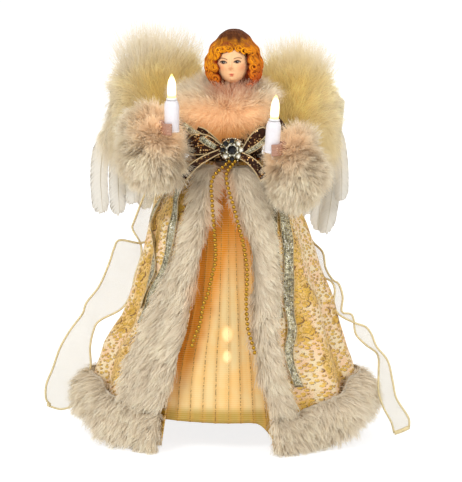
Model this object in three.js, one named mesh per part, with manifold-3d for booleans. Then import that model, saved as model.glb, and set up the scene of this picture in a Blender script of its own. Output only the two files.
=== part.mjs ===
// Angel tree topper: a doll angel in a fur-trimmed brocade coat, on a card cone that sits on a tree's tip.
// Millimetres, +Z up. The angel looks along -Y. Left and right are the viewer's, facing the angel.
// Angles are in degrees, counted from the front and growing to the viewer's right.
import * as THREE from "three";
import { mergeVertices } from "three/addons/utils/BufferGeometryUtils.js";
import Module from "manifold-3d";

const wasm = await Module();
wasm.setup();

// Gaps
const FIT = 0.3;
const OVERRUN = 2;
const CLOTH_GAP = 0.85;

// Card cone that the tree's tip goes into
const CONE_RIM_HEIGHT = 34;
const CONE_TOP_HEIGHT = 205;
const CONE_RIM_RADIUS = 46;
const CONE_TOP_RADIUS = 16;
const CONE_WALL = 1.5;
const CONE_STOP_DEPTH = 2;

// Torso, bodice and sash
const TORSO_HEIGHT = 47;
const TORSO_HALF_WIDTH = 20;
const TORSO_HALF_DEPTH = 18;
const NECK_RADIUS = 8;
const BODICE_WALL = 1.6;
const BODICE_HEIGHT = 34;
const SASH_WALL = 2.4;
const SASH_WIDTH = 12;

// Head, one painted casting with its neck and moulded hair
const HEAD_CENTRE_SIDE = 4;
const HEAD_CENTRE_LIFT = 29;
const HAIR_HALF_WIDTH = 23;
const HAIR_HALF_DEPTH = 19.5;
const HAIR_HALF_HEIGHT = 21.5;
const FACE_HALF_WIDTH = 12.2;
const FACE_HALF_DEPTH = 13;
const FACE_HALF_HEIGHT = 16.5;
const FACE_FORWARD = 9;
const FACE_DROP = 5.5;
const NOSE_LENGTH = 2.2;

// Fur collar
const COLLAR_HALF_WIDTH = 46;
const COLLAR_HALF_DEPTH = 31;
const COLLAR_TOP_RISE = 7;
const COLLAR_FRONT_DROP = 29;
const COLLAR_SIDE_DROP = 11;
const COLLAR_BACK_DROP = 7;

// Coat and underskirt
const COAT_HALF_WIDTH_LEFT = 100;
const COAT_HALF_WIDTH_RIGHT = 97;
const COAT_HALF_DEPTH = 72;
const COAT_CLOTH = 1.2;
const COAT_FOLD_DEPTH = 3.5;
const COAT_FOLD_COUNT = 10;
const COAT_HEM_LIFT = 4;
const COAT_SEAM_ANGLE = 110;
const UNDERSKIRT_INSET = 8;
const UNDERSKIRT_CLOTH = 1;
const UNDERSKIRT_PLEAT_DEPTH = 0.9;
const UNDERSKIRT_PLEAT_COUNT = 18;
const UNDERSKIRT_HEM_HEIGHT = 22;
const UNDERSKIRT_TOP_DROP = 5;

// Fur trims on the coat
const FUR_HEM_HEIGHT = 33;
const FUR_HEM_THICKNESS = 13;
const FUR_HEM_SIDE_LIFT = 20;
const FUR_HEM_CORNER_ANGLE = 32;
const FUR_HEM_BACK_ANGLE = 165;
const FUR_STRIP_THICKNESS = 9;

// Sleeved arms on bent wires; the shoulder, above the cone, is where each wire leaves the torso
const SHOULDER_RISE = 24;
const ARM_REACH = 63;
const SLEEVE_CAP_RADIUS = 8.5;
const SLEEVE_ELBOW_RADIUS = 12;
const SLEEVE_END_RADIUS = 13;
const ARM_WIRE_RADIUS = 1.3;
const CUFF_HALF_WIDTH = 19.5;
const CUFF_HALF_HEIGHT = 28;
const CUFF_LENGTH = 25;
const CUFF_BORE_RADIUS = 5.5;
const HAND_LENGTH = 11;
const HAND_HALF_WIDTH = 4.2;
const FINGER_RADIUS = 1.25;

// Candle lights
const SOCKET_RADIUS = 5.4;
const SOCKET_LENGTH = 23;
const SOCKET_GRIP_SHARE = 0.12;
const SOCKET_BORE_RADIUS = 3.4;
const SOCKET_BORE_DEPTH = 10;
const BULB_GLASS_RADIUS = 3.15;
const BULB_GLASS_LENGTH = 17;
const BULB_GLASS_WALL = 0.6;
const BULB_FLANGE_RADIUS = 3.9;
const BULB_FLANGE_HEIGHT = 1.2;
const LEAD_RADIUS = 1;
const LEAD_EXIT_DROP = 17.6;

// Lights in the skirt
const SKIRT_SOCKET_RADIUS = 4;
const SKIRT_SOCKET_LENGTH = 14;
const SKIRT_BULB_LENGTH = 15;

// Bow, ribbons, brooch and beads
const BOW_KNOT_WIDTH = 15;
const BOW_KNOT_HEIGHT = 14;
const BOW_KNOT_DEPTH = 10;
const BOW_SIDE = 2.6;
const BOW_RISE = 12;
const BOW_LOOP_DEPTH = 6.5;
const BOW_RIBBON_THICKNESS = 0.8;
const BOW_LOOP_REACH_LEFT = 21;
const BOW_LOOP_REACH_RIGHT = 13;
const BOW_LOOP_LIFT_LEFT = 1;
const BOW_LOOP_LIFT_RIGHT = 6;
const BOW_TAIL_WIDTH = 8;
const BOW_TAIL_DROP = 11;
const BOW_TAIL_REACH_LEFT = 25;
const BOW_TAIL_REACH_RIGHT = 11.5;
const MESH_RIBBON_WIDTH = 4.6;
const MESH_RIBBON_THICKNESS = 0.5;
const BROOCH_RADIUS = 9.6;
const BROOCH_DEPTH = 2.6;
const BROOCH_PETALS = 8;
const BROOCH_STONE_RADIUS = 3.6;
const BROOCH_STONE_DEPTH = 3;
const BEAD_RADIUS = 1.5;
const BEAD_PITCH = 4.3;
const BEAD_THREAD_RADIUS = 0.4;
const BEAD_START_ANGLE = 14;

// Organza streamers from the knot behind the waist
const SASH_KNOT_HALF_WIDTH = 9;
const SASH_KNOT_HALF_DEPTH = 5;
const SASH_KNOT_HALF_HEIGHT = 6;
const STREAMER_WIDTH = 22;
const STREAMER_THICKNESS = 0.6;
const STREAMER_REACH_LEFT = 24;
const STREAMER_REACH_RIGHT = 27;
const STREAMER_END_HEIGHT = 8.8;

// Feathered wings on two wires behind the shoulders
const WING_HINGE_SIDE = 8;
const WING_HINGE_BACK = 42;
const WING_HINGE_RISE = 28;
const WING_PIN_RADIUS = 1.4;
const WING_PIN_LENGTH = 14;
const WING_PLATE_WIDTH = 24;
const WING_PLATE_HEIGHT = 18;
const WING_PLATE_THICKNESS = 3;
const WING_SPAN = 80;
const WING_RISE = 38;
const WING_FALL = 30;
const WING_BASE_THICKNESS = 2;
const MARABOU_DEPTH = 10;
const MARABOU_RISE = 72;
const QUILL_WIDTH = 20;
const QUILL_THICKNESS = 1;
const QUILL_LENGTH = 84;
const QUILL_SPLAY_ANGLE = 3;

// Shape of the coat: share of the way down, then shares of its half widths left and right and half depth
const coatShapeShares = [
  [0, 0.29, 0.3, 0.333],
  [0.05, 0.38, 0.37, 0.43],
  [0.13, 0.5, 0.485, 0.53],
  [0.225, 0.56, 0.557, 0.625],
  [0.29, 0.58, 0.608, 0.68],
  [0.42, 0.65, 0.68, 0.78],
  [0.5, 0.69, 0.753, 0.833],
  [0.58, 0.76, 0.794, 0.868],
  [0.665, 0.88, 0.85, 0.903],
  [0.77, 0.95, 0.92, 0.938],
  [0.88, 0.98, 0.97, 0.972],
  [1, 1, 1, 1],
];

// Angles of the coat's front edges and of the fur strips' outer edges, by the share of the way down
const leftEdgeShares = [[0, -18], [0.3, -16], [0.65, -18], [0.74, -23], [0.83, -27], [1, -30]];
const leftStripShares = [[0, -50], [0.13, -34], [0.24, -34], [0.34, -39], [0.5, -47], [0.83, -50], [1, -50]];
const rightEdgeShares = [[0, 2], [0.11, 5.5], [0.28, 12.5], [0.65, 12], [0.75, 14], [0.83, 17], [1, 19]];
const rightStripShares = [[0, 44], [0.1, 36], [0.2, 31], [0.3, 27.5], [0.58, 22.5], [0.7, 23], [0.78, 27], [1, 33]];

// Looks
const looks = {
  card: { color: 0xd9cfba, roughness: 0.9, metalness: 0 },
  foam: { color: 0xefe9dc, roughness: 0.9, metalness: 0 },
  velvet: { color: 0x4a2a18, roughness: 0.85, metalness: 0 },
  painted: { color: 0xe9a26a, roughness: 0.35, metalness: 0 },
  fur: { color: 0xd9cfc2, roughness: 0.95, metalness: 0 },
  wire: { color: 0x9a9a98, roughness: 0.35, metalness: 1 },
  skin: { color: 0xe8a890, roughness: 0.45, metalness: 0 },
  whitePlastic: { color: 0xf2efe9, roughness: 0.35, metalness: 0 },
  glass: { color: 0xfff0c8, roughness: 0.05, metalness: 0 },
  lead: { color: 0xf4f0ea, roughness: 0.5, metalness: 0 },
  organza: { color: 0xe8b25c, roughness: 0.6, metalness: 0.1 },
  brocade: { color: 0xd8bd80, roughness: 0.5, metalness: 0.4 },
  satin: { color: 0x3d2416, roughness: 0.4, metalness: 0.1 },
  meshRibbon: { color: 0xb9b48c, roughness: 0.35, metalness: 0.8 },
  blackMetal: { color: 0x4c4a4c, roughness: 0.3, metalness: 0.9 },
  crystal: { color: 0x26262c, roughness: 0.05, metalness: 0 },
  bead: { color: 0xc9a24a, roughness: 0.25, metalness: 1 },
  sheer: { color: 0xf0e3bd, roughness: 0.6, metalness: 0.1 },
  feather: { color: 0xf6efdb, roughness: 0.8, metalness: 0 },
};

const mix = THREE.MathUtils.lerp;
const radians = THREE.MathUtils.degToRad;
const point = (x, y, z) => new THREE.Vector3(x, y, z);
const shares = (count) => Array.from({ length: count + 1 }, (_, step) => step / count);

// Value of a column of a table at a share, straight between its rows
function readTable(table, share, column = 1) {
  let row = 1;
  while (row < table.length - 1 && table[row][0] < share) {
    row += 1;
  }
  const [low, high] = [table[row - 1], table[row]];
  const part = THREE.MathUtils.clamp((share - low[0]) / (high[0] - low[0]), 0, 1);
  return mix(low[column], high[column], part);
}

// A geometry from points and triangles, turned so that its faces point out
function closedGeometry(points, index) {
  const geometry = new THREE.BufferGeometry();
  geometry.setAttribute("position", new THREE.Float32BufferAttribute(points.flatMap((p) => p.toArray()), 3));
  let volume = 0;
  for (let i = 0; i < index.length; i += 3) {
    const [a, b, c] = [points[index[i]], points[index[i + 1]], points[index[i + 2]]];
    volume += a.dot(b.clone().cross(c));
  }
  geometry.setIndex(volume < 0 ? index.slice().reverse() : index);
  geometry.computeVertexNormals();
  return geometry;
}

// A closed sheet between two grids of points, grid[row][column]; wrap joins its last column to its first
function sheet(front, back, wrap = false) {
  const [rows, columns] = [front.length, front[0].length];
  const behind = rows * columns;
  const index = [];
  const at = (row, column) => row * columns + (column % columns);
  const quad = (a, b, c, d) => index.push(a, b, c, a, c, d);
  const strips = wrap ? columns : columns - 1;
  for (let column = 0; column < strips; column += 1) {
    for (let row = 0; row < rows - 1; row += 1) {
      const corners = [at(row, column), at(row, column + 1), at(row + 1, column + 1), at(row + 1, column)];
      const [a, b, c, d] = corners.map((corner) => corner + behind);
      quad(...corners);
      quad(a, d, c, b);
    }
    const [topA, topB] = [at(0, column), at(0, column + 1)];
    const [lowA, lowB] = [at(rows - 1, column), at(rows - 1, column + 1)];
    quad(topB, topA, topA + behind, topB + behind);
    quad(lowA, lowB, lowB + behind, lowA + behind);
  }
  for (let row = 0; row < rows - 1 && !wrap; row += 1) {
    const [firstA, firstB] = [at(row, 0), at(row + 1, 0)];
    const [lastA, lastB] = [at(row, columns - 1), at(row + 1, columns - 1)];
    quad(firstA, firstB, firstB + behind, firstA + behind);
    quad(lastB, lastA, lastA + behind, lastB + behind);
  }
  return closedGeometry([...front.flat(), ...back.flat()], index);
}

// A closed body through rings of points; wrap joins the last ring to the first, otherwise flat fans close the ends
function loft(rings, wrap = false) {
  const sides = rings[0].length;
  const index = [];
  const points = rings.flat();
  const spans = wrap ? rings.length : rings.length - 1;
  for (let ring = 0; ring < spans; ring += 1) {
    const next = (ring + 1) % rings.length;
    for (let side = 0; side < sides; side += 1) {
      const after = (side + 1) % sides;
      const [a, b] = [ring * sides + side, ring * sides + after];
      const [c, d] = [next * sides + after, next * sides + side];
      index.push(a, b, c, a, c, d);
    }
  }
  if (!wrap) {
    const centres = [rings[0], rings.at(-1)].map((ring) => {
      const sum = ring.reduce((total, p) => total.add(p), point(0, 0, 0));
      return sum.divideScalar(sides);
    });
    const [first, last] = [points.length, points.length + 1];
    const start = (rings.length - 1) * sides;
    for (let side = 0; side < sides; side += 1) {
      const after = (side + 1) % sides;
      index.push(after, side, first);
      index.push(start + side, start + after, last);
    }
    points.push(...centres);
  }
  return closedGeometry(points, index);
}

// A body turned round +Z from an outline of [radius, height] pairs
function turned(outline, segments) {
  const geometry = new THREE.LatheGeometry(outline.map(([r, h]) => new THREE.Vector2(r, h)), segments);
  return geometry.rotateX(Math.PI / 2);
}

// A round bar along a smooth route
function bar(route, radius, steps, sides) {
  const section = new THREE.Shape();
  for (let side = 0; side < sides; side += 1) {
    const turn = (2 * Math.PI * side) / sides;
    const [x, y] = [radius * Math.cos(turn), radius * Math.sin(turn)];
    if (side === 0) {
      section.moveTo(x, y);
    } else {
      section.lineTo(x, y);
    }
  }
  const extrudePath = new THREE.CatmullRomCurve3(route);
  return new THREE.ExtrudeGeometry(section, { steps, extrudePath, bevelEnabled: false });
}

function ellipsoid(halfX, halfY, halfZ, around, along) {
  return new THREE.SphereGeometry(1, around, along).rotateX(Math.PI / 2).scale(halfX, halfY, halfZ);
}

function toSolid(geometry) {
  const bare = geometry.clone();
  bare.deleteAttribute("normal");
  bare.deleteAttribute("uv");
  const merged = mergeVertices(bare);
  const vertProperties = new Float32Array(merged.attributes.position.array);
  const triVerts = new Uint32Array(merged.index.array);
  return new wasm.Manifold(new wasm.Mesh({ numProp: 3, vertProperties, triVerts }));
}

function fromSolid(solid) {
  const mesh = solid.getMesh();
  const geometry = new THREE.BufferGeometry();
  geometry.setAttribute("position", new THREE.BufferAttribute(new Float32Array(mesh.vertProperties), 3));
  geometry.setIndex(new THREE.BufferAttribute(new Uint32Array(mesh.triVerts), 1));
  geometry.computeVertexNormals();
  return geometry;
}

function joined(...geometries) {
  return fromSolid(geometries.map(toSolid).reduce((whole, next) => whole.add(next)));
}

function cut(body, ...tools) {
  return fromSolid(tools.map(toSolid).reduce((whole, next) => whole.subtract(next), toSolid(body)));
}

function addPiece(parent, name, geometry, look) {
  const mesh = new THREE.Mesh(geometry, new THREE.MeshStandardMaterial(look));
  mesh.name = name;
  parent.add(mesh);
  return mesh;
}

// Heights that the pieces share
const coatTop = CONE_TOP_HEIGHT + 5 * FIT;
const torsoBottom = CONE_TOP_HEIGHT + FIT;
const torsoTop = torsoBottom + TORSO_HEIGHT;
const sashBottom = coatTop + FIT;
const sashTop = sashBottom + SASH_WIDTH;
const bodiceBottom = coatTop + FIT;
const bodiceTop = bodiceBottom + BODICE_HEIGHT;
const bodiceHalfWidth = TORSO_HALF_WIDTH + FIT + BODICE_WALL;
const bodiceHalfDepth = TORSO_HALF_DEPTH + FIT + BODICE_WALL;
const sashHalfWidth = bodiceHalfWidth + FIT + SASH_WALL;
const sashHalfDepth = bodiceHalfDepth + FIT + SASH_WALL;
const shoulderHeight = CONE_TOP_HEIGHT + SHOULDER_RISE;
const bowHeight = CONE_TOP_HEIGHT + BOW_RISE;
const wingHingeHeight = CONE_TOP_HEIGHT + WING_HINGE_RISE;

// Share of the way down the coat at a height
const coatShare = (height) => THREE.MathUtils.clamp((coatTop - height) / coatTop, 0, 1);

// Fold of the coat at an angle, out from its mean surface
function coatFold(angle, height) {
  const growth = Math.min(1, 2 * coatShare(height));
  return -COAT_FOLD_DEPTH * growth * Math.cos(radians(COAT_FOLD_COUNT * angle));
}

// A point at a distance out from the coat's mean surface, without its folds
function skirtPoint(angle, height, outward) {
  const share = coatShare(height);
  const turn = radians(angle);
  const leftSide = Math.sin(turn) < 0;
  const fullWidth = leftSide ? COAT_HALF_WIDTH_LEFT : COAT_HALF_WIDTH_RIGHT;
  const halfWidth = fullWidth * readTable(coatShapeShares, share, leftSide ? 1 : 2);
  const halfDepth = COAT_HALF_DEPTH * readTable(coatShapeShares, share, 3);
  return point((halfWidth + outward) * Math.sin(turn), -(halfDepth + outward) * Math.cos(turn), height);
}

const coatPoint = (angle, height, outward) => skirtPoint(angle, height, outward + coatFold(angle, height));

// Underside of the fur hem: on the ground at the front corners and the back, lifted at the sides
function hemHeight(angle) {
  const away = Math.abs(THREE.MathUtils.euclideanModulo(angle + 180, 360) - 180);
  const lifted = (away - FUR_HEM_CORNER_ANGLE) / (FUR_HEM_BACK_ANGLE - FUR_HEM_CORNER_ANGLE);
  const part = THREE.MathUtils.clamp(lifted, 0, 1);
  return FUR_HEM_SIDE_LIFT * Math.sin(Math.PI * part);
}

// Angle of a seam in the coat, moved sideways by half the gap between two panels
function seamAngle(angle, side, height) {
  const radius = COAT_HALF_DEPTH * readTable(coatShapeShares, coatShare(height), 3);
  return angle + side * THREE.MathUtils.radToDeg(FIT / radius);
}

// The two front edges and the two back seams, as angles by height
const leftFrontAngle = (height) => readTable(leftEdgeShares, coatShare(height));
const rightFrontAngle = (height) => readTable(rightEdgeShares, coatShare(height));
const coatSpans = {
  left: [(height) => seamAngle(-COAT_SEAM_ANGLE, 1, height), leftFrontAngle],
  back: [
    (height) => seamAngle(COAT_SEAM_ANGLE, 1, height),
    (height) => seamAngle(360 - COAT_SEAM_ANGLE, -1, height),
  ],
  right: [rightFrontAngle, (height) => seamAngle(COAT_SEAM_ANGLE, -1, height)],
};

function supportCone() {
  const inner = CONE_RIM_RADIUS - CONE_WALL;
  const outline = [
    [0, CONE_TOP_HEIGHT],
    [CONE_TOP_RADIUS, CONE_TOP_HEIGHT],
    [CONE_RIM_RADIUS, CONE_RIM_HEIGHT],
    [inner, CONE_RIM_HEIGHT],
    [CONE_TOP_RADIUS - CONE_WALL, CONE_TOP_HEIGHT - CONE_STOP_DEPTH],
    [0, CONE_TOP_HEIGHT - CONE_STOP_DEPTH],
  ];
  return turned(outline.reverse(), 32);
}

// Foam torso with sloping shoulders and a flat neck top
function torso() {
  const profileShares = [[0, 0.8], [0.25, 0.88], [0.5, 1], [0.72, 0.96], [0.86, 0.72], [1, 0.45]];
  const outline = [[0, 0], ...profileShares.map(([up, out]) => [out, up * TORSO_HEIGHT]), [0, TORSO_HEIGHT]];
  const body = turned(outline, 24);
  return body.scale(TORSO_HALF_WIDTH, TORSO_HALF_DEPTH, 1).translate(0, 0, torsoBottom);
}

// A plain elliptical band round the body
function band(halfWidth, halfDepth, wall, bottom, top, segments) {
  const ring = (outward, height) =>
    shares(segments).slice(0, -1).map((share) => {
      const turn = 2 * Math.PI * share;
      return point((halfWidth + outward) * Math.sin(turn), -(halfDepth + outward) * Math.cos(turn), height);
    });
  return sheet([ring(wall, top), ring(wall, bottom)], [ring(0, top), ring(0, bottom)], true);
}

function head() {
  const centre = [HEAD_CENTRE_SIDE, 0, torsoTop + HEAD_CENTRE_LIFT];
  const hair = ellipsoid(HAIR_HALF_WIDTH, HAIR_HALF_DEPTH, HAIR_HALF_HEIGHT, 20, 12);
  const opening = ellipsoid(FACE_HALF_WIDTH + OVERRUN, FACE_HALF_DEPTH, FACE_HALF_HEIGHT + OVERRUN, 16, 10);
  opening.translate(0, -HAIR_HALF_DEPTH, -FACE_DROP);
  const face = ellipsoid(FACE_HALF_WIDTH, FACE_HALF_DEPTH, FACE_HALF_HEIGHT, 16, 12);
  face.translate(0, -FACE_FORWARD + OVERRUN, -FACE_DROP);
  const nose = ellipsoid(NOSE_LENGTH / 2, NOSE_LENGTH, NOSE_LENGTH, 8, 6);
  nose.translate(0, OVERRUN - FACE_FORWARD - FACE_HALF_DEPTH, -FACE_DROP - NOSE_LENGTH / 2);
  const neckTop = -HAIR_HALF_HEIGHT / 2;
  const neckFoot = FIT - HEAD_CENTRE_LIFT;
  const neck = turned([[0, neckFoot], [NECK_RADIUS, neckFoot], [NECK_RADIUS, neckTop], [0, neckTop]], 20);
  neck.translate(-HEAD_CENTRE_SIDE, 0, 0);
  return joined(cut(hair, opening), face, nose, neck).translate(...centre);
}

// Fur collar round the neck and shoulders; it hangs lower in front than over the sleeves and wings
function furCollar() {
  const sectionShares = [[0.5, 0], [0.78, 0.02], [1, 0.35], [0.86, 0.8], [0.5, 1], [0.3, 0.92], [0.34, 0.62]];
  const top = torsoTop + COLLAR_TOP_RISE;
  const rings = shares(28).slice(0, -1).map((share) => {
    const turn = 2 * Math.PI * share;
    const facing = -Math.cos(turn);
    const endDrop = facing < 0 ? COLLAR_FRONT_DROP : COLLAR_BACK_DROP;
    const bottom = torsoTop - mix(COLLAR_SIDE_DROP, endDrop, Math.abs(facing) ** 2);
    return sectionShares.map(([out, up]) =>
      point(COLLAR_HALF_WIDTH * out * Math.sin(turn), COLLAR_HALF_DEPTH * out * facing, mix(bottom, top, up)),
    );
  });
  const ring = loft(rings, true);
  const chest = turned([[0, 0], [1, 0], [1, 1], [0, 1]], 32);
  chest.scale(bodiceHalfWidth + FIT, bodiceHalfDepth + FIT, bodiceTop + FIT - torsoBottom).translate(0, 0, torsoBottom);
  const shoulders = turned([[0, 0], [1, 0], [NECK_RADIUS / TORSO_HALF_DEPTH, 1], [0, 1]], 32);
  shoulders.scale(bodiceHalfWidth + FIT, bodiceHalfDepth + FIT, torsoTop - bodiceTop);
  shoulders.translate(0, 0, bodiceTop);
  return cut(ring, chest, shoulders);
}

// One cloth panel of the coat
function coatPanel([from, to], columns) {
  const rowShares = [0, 0.05, 0.13, 0.225, 0.29, 0.42, 0.5, 0.58, 0.665, 0.77, 1];
  const grid = (outward) =>
    rowShares.map((down) =>
      shares(columns).map((across) => {
        const roughHeight = coatTop * (1 - down);
        const angle = mix(from(roughHeight), to(roughHeight), across);
        const height = down < 1 ? roughHeight : hemHeight(angle) + COAT_HEM_LIFT;
        return coatPoint(angle, height, outward);
      }),
    );
  return sheet(grid(COAT_CLOTH / 2), grid(-COAT_CLOTH / 2));
}

// The underskirt hangs from a narrow ring round the cone and soon reaches its full width
function underskirt() {
  const top = coatTop - UNDERSKIRT_TOP_DROP;
  const coneRadius = conePoint(0, top, 0).setZ(0).length();
  const ringHalfDepth = coneRadius + 2 * FIT;
  const ringHalfWidth = ringHalfDepth + 2 * LEAD_RADIUS + 4 * FIT;
  const rowShares = [0, 0.06, 0.14, 0.25, 0.45, 0.7, 1];
  const steps = shares(UNDERSKIRT_PLEAT_COUNT * 2).slice(0, -1);
  const grid = (outward) =>
    rowShares.map((down) =>
      steps.map((share, step) => {
        const turn = 2 * Math.PI * share;
        const height = mix(top, UNDERSKIRT_HEM_HEIGHT, down);
        const pleat = (step % 2 ? 1 : -1) * UNDERSKIRT_PLEAT_DEPTH * Math.min(1, 2 * down);
        const full = skirtPoint(360 * share, height, pleat - UNDERSKIRT_INSET - UNDERSKIRT_CLOTH + outward);
        const [halfWidth, halfDepth] = [ringHalfWidth + outward, ringHalfDepth + outward];
        const narrow = point(halfWidth * Math.sin(turn), -halfDepth * Math.cos(turn), height);
        return narrow.lerp(full, Math.min(1, down / rowShares[2]));
      }),
    );
  return sheet(grid(UNDERSKIRT_CLOTH), grid(0), true);
}

// Back of every trim that lies on the coat
const trimBack = COAT_CLOTH / 2 + CLOTH_GAP;

// Fur band round the hem, flat where it stands
function furHem([from, to], count) {
  const sectionShares = [[0, 0.1], [0.2, 0], [0.6, 0], [0.93, 0.2], [1, 0.5], [0.8, 0.85], [0.35, 1], [0, 0.96]];
  const rings = shares(count).map((across) =>
    sectionShares.map(([out, up]) => {
      const above = FUR_HEM_HEIGHT * up;
      const angle = mix(from(above), to(above), across);
      return coatPoint(angle, hemHeight(angle) + above, trimBack + FUR_HEM_THICKNESS * out);
    }),
  );
  return loft(rings);
}

// Fur strip down a front edge of the coat, ending on the fur hem
function furStrip(inner, outer) {
  const sectionShares = [
    [0, 0], [0.04, 0.6], [0.25, 0.95], [0.5, 1], [0.75, 0.95], [0.96, 0.6], [1, 0], [0.75, 0], [0.5, 0], [0.25, 0],
  ];
  const downShares = [0, 0.08, 0.17, 0.28, 0.4, 0.55, 0.7, 0.85, 1];
  const rings = downShares.map((down) =>
    sectionShares.map(([across, out]) => {
      const roughHeight = mix(coatTop - 2 * FIT, FUR_HEM_HEIGHT, down);
      const angle = mix(inner(roughHeight), readTable(outer, coatShare(roughHeight)), across);
      const height = mix(coatTop - 2 * FIT, hemHeight(angle) + FUR_HEM_HEIGHT + 2 * FIT, down);
      return coatPoint(angle, height, trimBack + FIT + FUR_STRIP_THICKNESS * out);
    }),
  );
  return loft(rings);
}

// A flat ribbon on the coat
function meshRibbon(route) {
  const grid = (outward) =>
    route.map(([angle, up, out]) => {
      const height = coatTop * up;
      const radius = skirtPoint(angle, height, 0).setZ(0).length();
      const reach = THREE.MathUtils.radToDeg(MESH_RIBBON_WIDTH / 2 / radius);
      const lift = trimBack + FUR_STRIP_THICKNESS * out + outward;
      return [-reach, reach].map((turn) => coatPoint(angle + turn, height, lift));
    });
  return sheet(grid(MESH_RIBBON_THICKNESS), grid(0));
}

// Bow and brooch
const bowBack = -(sashHalfDepth + FIT);
const bowFront = bowBack - BOW_KNOT_DEPTH;

function bowKnot() {
  const knot = new THREE.BoxGeometry(BOW_KNOT_WIDTH, BOW_KNOT_DEPTH, BOW_KNOT_HEIGHT, 3, 2, 3);
  const corner = point(BOW_KNOT_WIDTH, BOW_KNOT_DEPTH, BOW_KNOT_HEIGHT).divideScalar(2);
  const place = knot.attributes.position;
  for (let i = 0; i < place.count; i += 1) {
    const spot = point(place.getX(i), 0, place.getZ(i));
    const edge = Math.max(Math.abs(spot.x) / corner.x, Math.abs(spot.z) / corner.z);
    const squeeze = edge > 0.9 ? 0.8 : 1;
    place.setY(i, place.getY(i) * squeeze);
  }
  return knot.translate(BOW_SIDE, bowBack - BOW_KNOT_DEPTH / 2, bowHeight);
}

// A loop of wide ribbon, standing out from the knot to one side
function bowLoop(side, reach, lift) {
  const outlineShares = [[0, 0.5], [0.25, 0.15], [0.6, 0], [0.9, 0.12], [1, 0.5], [0.9, 0.88], [0.6, 1], [0.25, 0.85]];
  const start = BOW_SIDE + side * (BOW_KNOT_WIDTH / 2 + FIT);
  const middle = bowBack - BOW_KNOT_DEPTH / 2 - FIT;
  const ring = (up, inward) =>
    outlineShares.map(([out, deep]) => {
      const spread = mix(0.55, 1, out) * up * BOW_KNOT_HEIGHT;
      const x = start + side * (inward + out * (reach - 2 * inward));
      const y = middle + (deep - 0.5) * (BOW_LOOP_DEPTH - 2 * inward);
      return point(x, y, bowHeight + spread + lift * out);
    });
  const rows = [0.5, -0.5];
  const outer = rows.map((up) => ring(up, 0));
  const inner = rows.map((up) => ring(up, BOW_RIBBON_THICKNESS));
  return sheet(outer, inner, true);
}

// A ribbon tail in front of the fur strips, from under the knot to a slanted end
function bowTail(side, reach) {
  const start = BOW_SIDE + side * (BROOCH_RADIUS * 0.85 + FIT);
  const startHeight = bowHeight - BOW_KNOT_HEIGHT / 2;
  const grid = (outward) =>
    shares(5).map((share) => {
      const x = start + side * reach * share;
      const y = bowFront - 4 * FIT + outward - FUR_STRIP_THICKNESS * share;
      const z = startHeight - BOW_TAIL_DROP * share ** 1.3 + BOW_TAIL_WIDTH / 2;
      return [0, 1].map((low) => point(x - side * low * BOW_TAIL_WIDTH / 3, y, z - BOW_TAIL_WIDTH * low));
    });
  return sheet(grid(-BOW_RIBBON_THICKNESS), grid(0));
}

// Distance of the brooch's scalloped rim from its centre
const broochReach = (turn) => BROOCH_RADIUS * (0.9 + 0.1 * Math.cos(BROOCH_PETALS * turn));

function broochSetting() {
  const rim = shares(BROOCH_PETALS * 4).slice(0, -1).map((share) => {
    const turn = 2 * Math.PI * share;
    const reach = broochReach(turn);
    return [reach * Math.sin(turn), reach * Math.cos(turn)];
  });
  const front = bowFront - FIT;
  const ring = (deep, scale) => rim.map(([x, z]) => point(BOW_SIDE + x * scale, front - deep, bowHeight + z * scale));
  const plate = loft([ring(0, 0.9), ring(BROOCH_DEPTH / 2, 1), ring(BROOCH_DEPTH, 0.72)]);
  const seat = BROOCH_STONE_RADIUS + FIT;
  const hollow = turned([[0, -OVERRUN], [seat, -OVERRUN], [seat, BROOCH_DEPTH / 2], [0, BROOCH_DEPTH / 2]], 12);
  hollow.rotateX(-Math.PI / 2).translate(BOW_SIDE, front - BROOCH_DEPTH, bowHeight);
  return cut(plate, hollow);
}

function broochStone() {
  const radius = BROOCH_STONE_RADIUS;
  const outline = [[0, 0], [radius, 0], [radius, radius / 3], [radius / 2, BROOCH_STONE_DEPTH], [0, BROOCH_STONE_DEPTH]];
  const stone = turned(outline, 10).rotateX(Math.PI / 2);
  return stone.translate(BOW_SIDE, bowFront - 2 * FIT - BROOCH_DEPTH / 2, bowHeight);
}

// Beads on a thread from the brooch's lower rim, as one bar that swells at each bead
function beadStrand(side, route) {
  const turn = radians(BEAD_START_ANGLE);
  const reach = broochReach(turn) + FIT + BEAD_THREAD_RADIUS;
  const start = point(
    BOW_SIDE + side * reach * Math.sin(turn),
    bowFront - FIT - BROOCH_DEPTH / 2,
    bowHeight - reach * Math.cos(turn),
  );
  const rest = trimBack + FIT + FUR_STRIP_THICKNESS + BEAD_RADIUS;
  const spots = route.map(([angle, up, out]) =>
    skirtPoint(angle, coatTop * up, rest + FUR_STRIP_THICKNESS * out),
  );
  const path = new THREE.CatmullRomCurve3([start, ...spots]);
  const count = Math.floor(path.getLength() / BEAD_PITCH);
  const sides = 5;
  const ringAt = (share, radius) => {
    const centre = path.getPointAt(Math.min(1, share));
    const along = path.getTangentAt(Math.min(1, share));
    const side = along.clone().cross(point(0, 1, 0)).normalize();
    const front = side.clone().cross(along).normalize();
    return shares(sides).slice(0, -1).map((turn) => {
      const angle = 2 * Math.PI * turn;
      const across = side.clone().multiplyScalar(radius * Math.cos(angle));
      return centre.clone().add(across).addScaledVector(front, radius * Math.sin(angle));
    });
  };
  const half = BEAD_RADIUS / 2 / BEAD_PITCH;
  const rings = [ringAt(0, BEAD_THREAD_RADIUS)];
  for (let bead = 0; bead < count; bead += 1) {
    rings.push(ringAt((bead + 0.5 - half) / count, BEAD_RADIUS));
    rings.push(ringAt((bead + 0.5 + half) / count, BEAD_RADIUS));
    rings.push(ringAt((bead + 1) / count, BEAD_THREAD_RADIUS));
  }
  return loft(rings);
}

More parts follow.
